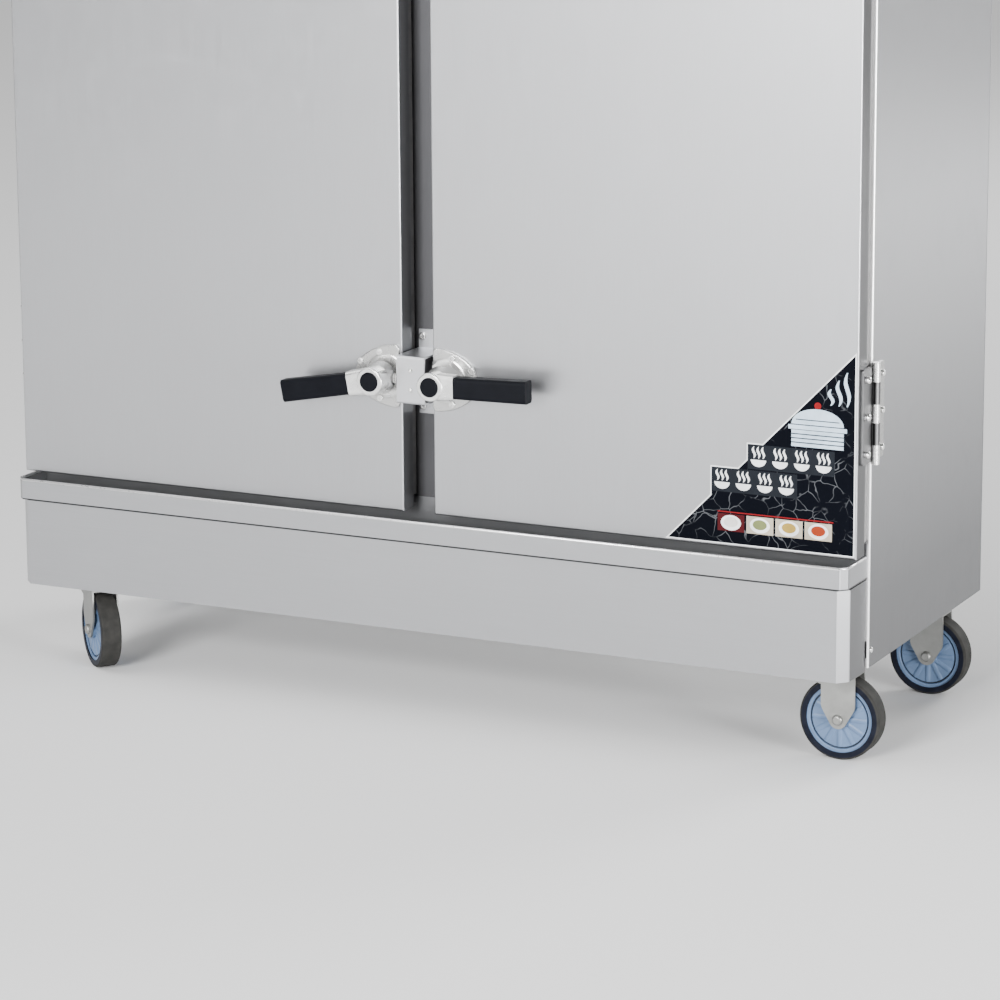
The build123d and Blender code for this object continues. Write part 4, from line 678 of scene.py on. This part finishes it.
class STEAMER_OT_case(bpy.types.Operator):
    """Finish the case, its trough, skirt and inner sheets, and roll the trough's edge"""
    bl_idname = "steamer.case"
    bl_label = "Case Sheets"

    def execute(self, context):
        wall_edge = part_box("right_side_panel")[0].y
        # Painted shade low on the side walls and a painted highlight on their front edges
        dress(["left_side_panel", "right_side_panel"], sheet_steel("z", name="wall_sheet", shaded=(
            band("Z", 0.0, WALL_FADE), band("Y", wall_edge, WALL_EDGE))))
        dress(["back_panel"], sheet_steel("z"))
        dress(["control_fascia"], sheet_steel("x"))
        dress(["roof_panel"], sheet_steel("x", name="roof_sheet", anisotropy=0.0))
        trough_low, trough_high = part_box("drip_trough")
        # Painted shade on the trough's front edge, inside and seam
        dress(["drip_trough"], sheet_steel("x", name="trough_sheet", shaded=(
            band("Y", trough_low.y, TROUGH_FRONT), band("Y", trough_low.y, TROUGH_INSIDE),
            band("Z", TROUGH_SEAM, TROUGH_LINE))))
        self.hem(trough_low, trough_high)
        # Painted shade on the skirt's returned ends and on its seam under the trough
        dress(["skirt_panel"], sheet_steel("x", name="skirt_sheet", shaded=(
            band("Y", trough_low.y, SKIRT_ENDS), band("Z", SKIRT_TOP, SKIRT_LINE))))
        # Painted shade: the mullion and front frame seen in the gap between the doors get a nearly black
        # sheet
        dress(["mullion", "front_frame"], mill_steel("gap_shade_sheet", (0.085, 0.085, 0.09), 0.46))
        dress(["chamber_liners", "water_tanks", "rack_uprights", "tray_rails", "steam_vents",
               "water_manifold", "feed_tank"], mill_steel())
        dress(["base_frame"], moulded("frame_primer", (0.16, 0.165, 0.17), 0.6))
        dress(["wall_insulation"], foam())
        dress(["heating_elements"], mill_steel("tinted_tube", (0.30, 0.27, 0.23), 0.5))
        return {"FINISHED"}

    @staticmethod
    def hem(low, high):
        """Rolled top edge of the trough, partly sunk in its front and side walls."""
        inset = HEM_RADIUS - HEM_PROUD
        left, right, front = low.x + inset, high.x - inset, low.y + inset
        back = high.y - HEM_END
        path = [(left, back), (left, front + TROUGH_CORNER), (left + TROUGH_CORNER, front),
                (right - TROUGH_CORNER, front), (right, front + TROUGH_CORNER), (right, back)]
        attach(rolled_edge("trough_hem", path, high.z - LIP_BELOW_BACK - HEM_RADIUS, HEM_RADIUS,
                            bright_metal("polished_hem", (0.93, 0.93, 0.93), 0.30)), "case")


# Where painted shade starts on the doors' folded edges behind the face, and how dark each door's painted
# shade is
EDGE_START, EDGE_END = 2.0 * MM, 4.0 * MM
EDGE_SHADES = {"left": 0.47, "right": 0.23}


class STEAMER_OT_doors(bpy.types.Operator):
    """Finish the doors' skins, inner panels, cores and seals"""
    bl_idname = "steamer.doors"
    bl_label = "Doors"

    def execute(self, context):
        for side in SIDES:
            # Painted shade on each door's folded edges, darker on the right door than on the left
            edges = [band("Y", DOOR_FACE, (EDGE_START, EDGE_END, EDGE_SHADES[side]))]
            dress([f"{side}_door_skin"], sheet_steel("z", name=f"{side}_door_sheet", shaded=edges))
            dress([f"{side}_door_inner_panel"], mill_steel())
            dress([f"{side}_door_core"], foam())
            dress([f"{side}_door_seal"], moulded("seal_silicone", (0.24, 0.24, 0.24), 0.55, gloss=0.2))
        return {"FINISHED"}


# Places on the door print go across from the frame's middle and up from the floor. Its outline, its first
# tile as left, right, bottom and top, and the tiles' step
PRINT_OUTLINE = MM * np.array([
    (431.5, 332.8), (734.2, 332.8), (734.2, 639.6), (587.1, 490.5), (562.3, 490.5), (562.3, 465.4),
    (547.1, 450.0), (503.0, 450.0), (503.0, 405.3)])
TILE_BOX = MM * np.array([513.5, 557.5, 351.5, 378.5])
TILE_STEP = 47.5 * MM
CREAM = ("tile_cream", (0.42, 0.37, 0.29))
TILE_INKS = (("tile_wine", (0.055, 0.004, 0.006)), CREAM, CREAM, CREAM)
DISH_INKS = (("dish_white", (0.60, 0.58, 0.56)), ("dish_green", (0.15, 0.17, 0.07)),
             ("dish_yellow", (0.34, 0.23, 0.05)), ("dish_orange", (0.28, 0.035, 0.01)))
# Plates and dishes on the tiles: radius and squeeze, and how far a dish lies above its plate's middle
PLATE = (16.5 * MM, 0.72)
DISH = (11.5 * MM, 0.68)
DISH_RISE = 1.0 * MM

# The rest of the print's places are in millimetres. Dark panels, rule over the tiles, and the lid's knob
PANEL_BOXES = ((562.3, 703.0, 452.0, 490.5), (503.0, 643.0, 412.5, 450.0))
RULE_BOX = (513.5, 702.0, 380.6, 382.4)
KNOB = (675.0, 558.5, 5.5)
# Bowls in each panel: how many, the rim's height in it, a bowl's radius and squeeze; the wisps' places
# beside a bowl's middle, their foot, their gap to the panel's top, sway and width
BOWLS, BOWL_RIM, BOWL_RADIUS, BOWL_SQUEEZE = 4, 15, 12.5, 0.85
WISP_PLACES, WISP_FOOT, WISP_GAP, WISP_SWAY, WISP_WIDTH = (-7.5, 0, 7.5), 17.5, 3.0, 1.6, 4.2
# Basket: its boxes, its lid's middle, radius and height, and the steam's foot, sway, width, places and tops
BASKET_BOXES = ((633, 717, 494, 519.5), (628, 722, 520.5, 527))
LID_X, LID_Z, LID_RADIUS, LID_HEIGHT = 675, 528.5, 42, 25
STEAM_FOOT, STEAM_SWAY, STEAM_WIDTH = 561, 3.0, 6.5
STEAM_TOPS = ((696, 586), (709, 600), (722, 613))
# Dark bands: round the basket their ends, heights and width, and the line along its lid
BAND_ENDS, BAND_HEIGHTS, BAND_WIDTH = (633, 717), (499.5, 506.0, 512.5), 1.6
LID_LINE = (640, 710, 535, 536.4)


class STEAMER_OT_print(bpy.types.Operator):
    """Make the dark corner print on the right door, with bowls, wisps of steam and a steaming basket"""
    bl_idname = "steamer.print"
    bl_label = "Door Print"

    @staticmethod
    def layer(name, outlines, level, material):
        """One layer of the print, that many films out from the door."""
        film = print_settings().film
        piece = plates(name, outlines, DOOR_FACE, level * film, film, material)
        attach(piece, "right_door")

    def execute(self, context):
        look = print_settings()
        white = ink("print_white", tuple(look.ink_tint))
        pale = ink("print_pale_blue", (0.50, 0.62, 0.74))
        red = ink("print_red", (0.20, 0.006, 0.008))
        dark = ink("print_panel", (0.007, 0.009, 0.013))
        self.layer("print_edging", [grown(PRINT_OUTLINE, look.edging)], 0, white)
        self.layer("print_field", [PRINT_OUTLINE], 1, print_film())
        self.layer("print_panels", [MM * rectangle(*box) for box in PANEL_BOXES], 2, dark)
        self.layer("print_bowl_marks", self.bowl_marks(), 3, white)
        self.layer("print_basket", self.basket(), 2, pale)
        self.layer("print_basket_bands", self.basket_bands(), 3, dark)
        self.layer("print_rule", [MM * rectangle(*RULE_BOX), MM * disc(*KNOB)], 2, red)
        for place, (tile, dish) in enumerate(zip(TILE_INKS, DISH_INKS)):
            x0, x1, z0, z1 = TILE_BOX + np.array([place, place, 0, 0]) * TILE_STEP
            x, z = (x0 + x1) / 2, (z0 + z1) / 2
            self.layer(f"print_tile_{place + 1}", [rectangle(x0, x1, z0, z1)], 2, ink(*tile))
            self.layer(f"print_plate_{place + 1}", [disc(x, z, PLATE[0], squeeze=PLATE[1])], 3, white)
            self.layer(f"print_dish_{place + 1}", [disc(x, z + DISH_RISE, DISH[0], squeeze=DISH[1])], 4,
                       ink(*dish, grain_depth=0.08))
        return {"FINISHED"}

    @staticmethod
    def bowl_marks():
        """Bowls in each panel with wisps of steam above each.

        A bowl is a half disc turned over: its points are taken from twice its rim's middle.
        """
        marks = []
        for x0, x1, z0, z1 in PANEL_BOXES:
            for place in range(BOWLS):
                x, rim = x0 + (place + 0.5) * (x1 - x0) / BOWLS, z0 + BOWL_RIM
                dome = disc(x, rim, BOWL_RADIUS, 0.5, BOWL_SQUEEZE)
                marks.append(MM * (np.array([2 * x, 2 * rim]) - dome))
                marks += [MM * wisp(x + step, z0 + WISP_FOOT, z1 - WISP_GAP, WISP_SWAY, WISP_WIDTH)
                          for step in WISP_PLACES]
        return marks

    @staticmethod
    def basket():
        """Round steaming basket with its lid, seen from the front, and steam rising beside it."""
        shapes = [rectangle(*box) for box in BASKET_BOXES]
        shapes.append(disc(LID_X, LID_Z, LID_RADIUS, 0.5, LID_HEIGHT / LID_RADIUS))
        shapes += [wisp(x, STEAM_FOOT, top, STEAM_SWAY, STEAM_WIDTH) for x, top in STEAM_TOPS]
        return [MM * shape for shape in shapes]

    @staticmethod
    def basket_bands():
        """Thin dark bands round the basket and a line along its lid."""
        bands = [rectangle(*BAND_ENDS, z, z + BAND_WIDTH) for z in BAND_HEIGHTS]
        return [MM * shape for shape in (*bands, rectangle(*LID_LINE))]


class STEAMER_OT_latches(bpy.types.Operator):
    """Finish the latches, grips and keepers"""
    bl_idname = "steamer.latches"
    bl_label = "Latches"

    def execute(self, context):
        black = moulded("grip_black", (0.0035, 0.004, 0.006), 0.46, 0.08, 0.07)
        for side in SIDES:
            dress([f"{side}_latch_bases"], cast_metal())
            for level in LEVELS:
                dress([f"{level}_{side}_latch_lever"], cast_metal())
                dress([f"{level}_{side}_lever_grip"], black)
        dress(["latch_keepers"], sheet_steel("z", 1.4, name="keeper_sheet"))
        return {"FINISHED"}


# Hinge sizes: barrel, leaf and its half height, the door bolts' row and spacing, and a bolt head's
# radius and height
BARREL_RADIUS = 6.5 * MM
LEAF = 3.0 * MM
HALF_LEAF = 73.5 * MM
DOOR_BOLT_ROW = 35.0 * MM
BOLT_SPACING = 57.0 * MM
BOLT_HEAD = (5.6 * MM, 8.6 * MM)
# Share of a bolt head's height that is its dome, and how far the dome goes towards its tip
DOME_SHARE = 0.4
DOME_END_SHARE = 0.985
DOME_RINGS = 9
# Bands from the pin: a painted shadow in the crease of the door's leaf, then painted shade on its knuckles
# past it, and the case leaf's dull end CREASE = (-10.0 * MM, -9.2 * MM, 0.06) CREASE_EDGE = (-6.4 * MM,
# -6.0 * MM, 0.6)
CREASE = (-10.0 * MM, -9.2 * MM, 0.06)
CREASE_EDGE = (-6.4 * MM, -6.0 * MM, 0.6)
LEAF_END = (7.0 * MM, 9.0 * MM, 0.5)


def bolt_heads(name, places, way, material, around=28):
    """Domed bolt heads that point along X, as one mesh.

    The profile is (reach, radius): a straight barrel R, then a dome whose radius falls as
    R (1 - t^2)^(1/2) while its reach grows from 0.6 H to H with t, turned round the bolt's axis.
    """
    radius, height = BOLT_HEAD
    t = np.linspace(0.0, DOME_END_SHARE, DOME_RINGS)
    reach = np.concatenate([[0.0], (1 - DOME_SHARE) * height + DOME_SHARE * height * t])
    girth = np.concatenate([[radius], radius * np.sqrt(1 - t ** 2)])
    turn = np.linspace(0.0, 2 * math.pi, around, endpoint=False)
    ring = np.stack([np.repeat(way * reach, around), np.outer(girth, np.cos(turn)).ravel(),
                     np.outer(girth, np.sin(turn)).ravel()], axis=1)
    rows = len(reach)
    index = np.arange(rows * around).reshape(rows, around)
    after = np.roll(index, -1, axis=1)
    quads = np.stack([index[:-1], after[:-1], after[1:], index[1:]], axis=-1).reshape(-1, 4)
    if way < 0:
        quads = quads[:, ::-1]
    points, faces = [], []
    for place in places:
        start = len(points) * len(ring)
        points.append(ring + np.array(place))
        faces += (quads + start).tolist()
        ends = [index[0][::-1] + start, index[-1] + start]
        faces += [end[::int(way)].tolist() for end in ends]
    return new_piece(name, np.concatenate(points), faces, material, smooth=True)


class STEAMER_OT_hinges(bpy.types.Operator):
    """Finish the hinges and the case's fixings, and make the door leaves' bolt heads"""
    bl_idname = "steamer.hinges"
    bl_label = "Hinges"

    @staticmethod
    def bolt_heights():
        """Three bolts on each hinge leaf, about the middles that the door halves' solids have."""
        low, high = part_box("right_hinge_door_halves")
        middles = (low.z + HALF_LEAF, high.z - HALF_LEAF)
        return [middle + step * BOLT_SPACING for middle in middles for step in (-1, 0, 1)]

    def execute(self, context):
        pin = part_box("right_hinge_door_halves")[1].y - BARREL_RADIUS
        # Painted shadow in the door leaf's crease and painted shade on its knuckles
        crease = [band("Y", pin, CREASE), band("Y", pin, CREASE_EDGE)]
        dress(["hinge_case_halves"], bright_metal("hinge_plating", (0.80, 0.80, 0.79), 0.26,
                                                  [band("Y", pin, LEAF_END)]))
        dress(["left_hinge_door_halves", "right_hinge_door_halves"],
              bright_metal("hinge_leaf_steel", (0.22, 0.22, 0.225), 0.40, crease))
        plated = bright_metal("bolt_plating", (0.93, 0.93, 0.92), 0.18)
        for side, way in SIDES.items():
            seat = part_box("right_side_panel")[1].x + LEAF
            heads = [(way * seat, pin - DOOR_BOLT_ROW, z) for z in self.bolt_heights()]
            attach(bolt_heads(f"{side}_hinge_bolts", heads, way, plated), f"{side}_door")
        dress(["case_fasteners"], bright_metal(tint=(0.88, 0.88, 0.87), roughness=0.2))
        return {"FINISHED"}


class STEAMER_OT_casters(bpy.types.Operator):
    """Finish the casters' forks, wheel centres and tyres"""
    bl_idname = "steamer.casters"
    bl_label = "Casters"

    def execute(self, context):
        dress(["caster_plates"], zinc_plate())
        for name in CASTERS:
            dress([f"{name}_caster_fork"], zinc_plate())
            dress([f"{name}_wheel_rim"], rim_plastic(name))
            dress([f"{name}_wheel_tyre"], tread_rubber(name))
        return {"FINISHED"}


class STEAMER_OT_rear(bpy.types.Operator):
    """Finish the drain valve, its lever, the float and the knobs"""
    bl_idname = "steamer.rear"
    bl_label = "Valve And Knobs"

    def execute(self, context):
        dress(["drain_valve"], bright_metal("washed_brass", (0.62, 0.52, 0.32), 0.34))
        dress(["drain_lever"], bright_metal("lever_steel", (0.55, 0.55, 0.54), 0.34))
        dress(["float_arm"], moulded("float_white", (0.72, 0.73, 0.73), 0.4))
        dress(["left_control_knob", "right_control_knob"],
              moulded("knob_black", (0.010, 0.010, 0.012), 0.40, gloss=0.2))
        return {"FINISHED"}


# Dial marks: how many, the first one's angle and their step in degrees, how far out they start in knob
# radii, the ink's thickness, and the length in knob radii and half width of a long and a short one
MARKS, MARK_START, MARK_STEP = 11, 225, 27
MARK_REACH = 1.18
MARK_INK = 0.15 * MM
LONG_MARK, SHORT_MARK = (0.34, 1.3 * MM), (0.2, 0.8 * MM)
LONG_EVERY = 5


class STEAMER_OT_dials(bpy.types.Operator):
    """Make the ring of dial marks round each knob"""
    bl_idname = "steamer.dials"
    bl_label = "Dial Marks"

    def execute(self, context):
        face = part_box("control_fascia")[0].y
        paint = moulded("dial_ink", (0.03, 0.03, 0.035), 0.45, 0.03)
        for side in SIDES:
            low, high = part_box(f"{side}_control_knob")
            x = (low.x + high.x) / 2
            radius = (high.x - low.x) / 2
            z = low.z + radius
            marks = []
            for step in range(MARKS):
                turn = math.radians(MARK_START - MARK_STEP * step)
                out = np.array([math.cos(turn), math.sin(turn)])
                length, half_width = SHORT_MARK if step % LONG_EVERY else LONG_MARK
                ends = [radius * reach * out + np.array([x, z])
                        for reach in (MARK_REACH, MARK_REACH + length)]
                half = half_width * np.array([-out[1], out[0]])
                marks.append(np.array([ends[0] - half, ends[1] - half, ends[1] + half, ends[0] + half]))
            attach(plates(f"{side}_dial_marks", marks, face, 0.0, MARK_INK, paint), "case")
        return {"FINISHED"}


# How far the floor goes each way
FLOOR_REACH = 60.0
# Large soft lights: place, what each faces, size and share of the power
LIGHTS = {
    "front_light": ((-0.3, -8.0, 3.0), (0.2, 0.0, 0.9), 2.8, 0.92),
    "door_light": ((-1.0, -8.0, 1.3), (0.5, 0.0, 1.0), 1.6, 0.13),
    "right_light": ((4.6, -2.0, 0.6), (0.7, -0.2, 0.3), 1.4, 0.34),
    "rear_light": ((3.4, 6.5, 2.9), (0.7, 0.0, 0.7), 3.2, 0.46),
}
# Place of the wide ceiling light, which faces the origin, and how wide it looks from there
CEILING_PLACE = (-4.0, -2.5, 7.0)
CEILING_WIDTH = math.radians(50)
# Camera's sensor in millimetres, the picture's shift on it as shares of its width, and how far it sees
SENSOR = 36.0
CAMERA_SHIFT = (-0.02, -0.10)
CAMERA_REACH = 200.0


class STEAMER_OT_stage(bpy.types.Operator):
    """Make the floor, the lights and the camera"""
    bl_idname = "steamer.stage"
    bl_label = "Studio"

    def execute(self, context):
        scene = context.scene
        look = scene.steamer_studio
        floor_paint = Finish("studio_floor", Roughness=0.85, Specular_IOR_Level=0.1)
        noise = node(floor_paint.tree, "ShaderNodeTexNoise", {"Scale": 0.7})
        floor_paint.link(floor_paint.position, noise.inputs["Vector"])
        tint = tuple(look.floor_tint)
        floor_paint.link(floor_paint.mix(noise.outputs["Fac"], shade(tint, 0.995), tint), "Base Color")
        corners = [(-FLOOR_REACH, -FLOOR_REACH, 0), (FLOOR_REACH, -FLOOR_REACH, 0),
                   (FLOOR_REACH, FLOOR_REACH, 0), (-FLOOR_REACH, FLOOR_REACH, 0)]
        floor = new_piece("studio_floor", corners, [(0, 1, 2, 3)], floor_paint.material)
        world = bpy.data.worlds.new("studio_room")
        world.use_nodes = True
        background = world.node_tree.nodes["Background"]
        background.inputs["Color"].default_value = (1.0, 1.0, 1.0, 1.0)
        seen = node(world.node_tree, "ShaderNodeLightPath")
        strength = node(world.node_tree, "ShaderNodeMapRange",
                        {"To Min": look.world_light, "To Max": look.wall_light})
        world.node_tree.links.new(seen.outputs["Is Camera Ray"], strength.inputs["Value"])
        world.node_tree.links.new(strength.outputs["Result"], background.inputs["Strength"])
        scene.world = world
        for name, (place, target, size, share) in LIGHTS.items():
            self.area(name, place, target, size, share * look.light_power)
        ceiling = bpy.data.lights.new("ceiling_light", "SUN")
        ceiling.energy = look.sky_power
        ceiling.angle = CEILING_WIDTH
        self.hang(ceiling, CEILING_PLACE, (0.0, 0.0, 0.0))
        camera = bpy.data.objects.new("studio_camera", bpy.data.cameras.new("studio_camera"))
        camera.data.sensor_width = SENSOR
        camera.data.lens = look.lens
        camera.data.shift_x, camera.data.shift_y = CAMERA_SHIFT
        camera.data.clip_end = CAMERA_REACH
        pitch, roll, yaw = look.camera_turn
        turn = (Matrix.Rotation(yaw, 3, "Z") @ Matrix.Rotation(math.pi / 2 - pitch, 3, "X")
                @ Matrix.Rotation(roll, 3, "Z"))
        camera.rotation_euler = turn.to_euler()
        camera.location = look.camera_place
        scene.collection.objects.link(camera)
        scene.camera = camera
        return {"FINISHED"}

    @staticmethod
    def area(name, place, target, size, power):
        """Square soft light."""
        light = bpy.data.lights.new(name, "AREA")
        light.size = size
        light.energy = power
        STEAMER_OT_stage.hang(light, place, target)

    @staticmethod
    def hang(light, place, target):
        """Light hung at a place and turned to face a target, and hidden from the camera itself."""
        lamp = bpy.data.objects.new(light.name, light)
        lamp.visible_camera = False
        lamp.location = place
        lamp.rotation_euler = (Vector(target) - Vector(place)).to_track_quat("-Z", "Y").to_euler()
        bpy.context.scene.collection.objects.link(lamp)


class STEAMER_PT_panel(bpy.types.Panel):
    """Steps that dress the cabinet, with their settings"""
    bl_idname = "STEAMER_PT_panel"
    bl_label = "Steamer Cabinet"
    bl_space_type = "VIEW_3D"
    bl_region_type = "UI"
    bl_category = "Steamer"

    def draw(self, context):
        layout = self.layout
        for name, kind in GROUPS.items():
            box = layout.box()
            for field in kind.__annotations__:
                box.prop(getattr(context.scene, name), field)
        for step in STEPS:
            layout.operator(step.bl_idname)


GROUPS = {"steamer_finish": SteamerFinish, "steamer_print": SteamerPrint, "steamer_studio": SteamerStudio}
STEPS = (STEAMER_OT_case, STEAMER_OT_doors, STEAMER_OT_latches, STEAMER_OT_hinges, STEAMER_OT_casters,
         STEAMER_OT_rear, STEAMER_OT_print, STEAMER_OT_dials, STEAMER_OT_stage)


def register():
    """Registers the classes and hangs the settings on the scene."""
    for kind in (*GROUPS.values(), *STEPS, STEAMER_PT_panel):
        bpy.utils.register_class(kind)
    for name, kind in GROUPS.items():
        setattr(bpy.types.Scene, name, bpy.props.PointerProperty(type=kind))


def unregister():
    """Undoes register."""
    for name in GROUPS:
        delattr(bpy.types.Scene, name)
    for kind in reversed((*GROUPS.values(), *STEPS, STEAMER_PT_panel)):
        bpy.utils.unregister_class(kind)


def main():
    """Runs the steps in order."""
    register()
    for step in STEPS:
        area, action = step.bl_idname.split(".")
        getattr(getattr(bpy.ops, area), action)()


if __name__ == "__main__":
    main()
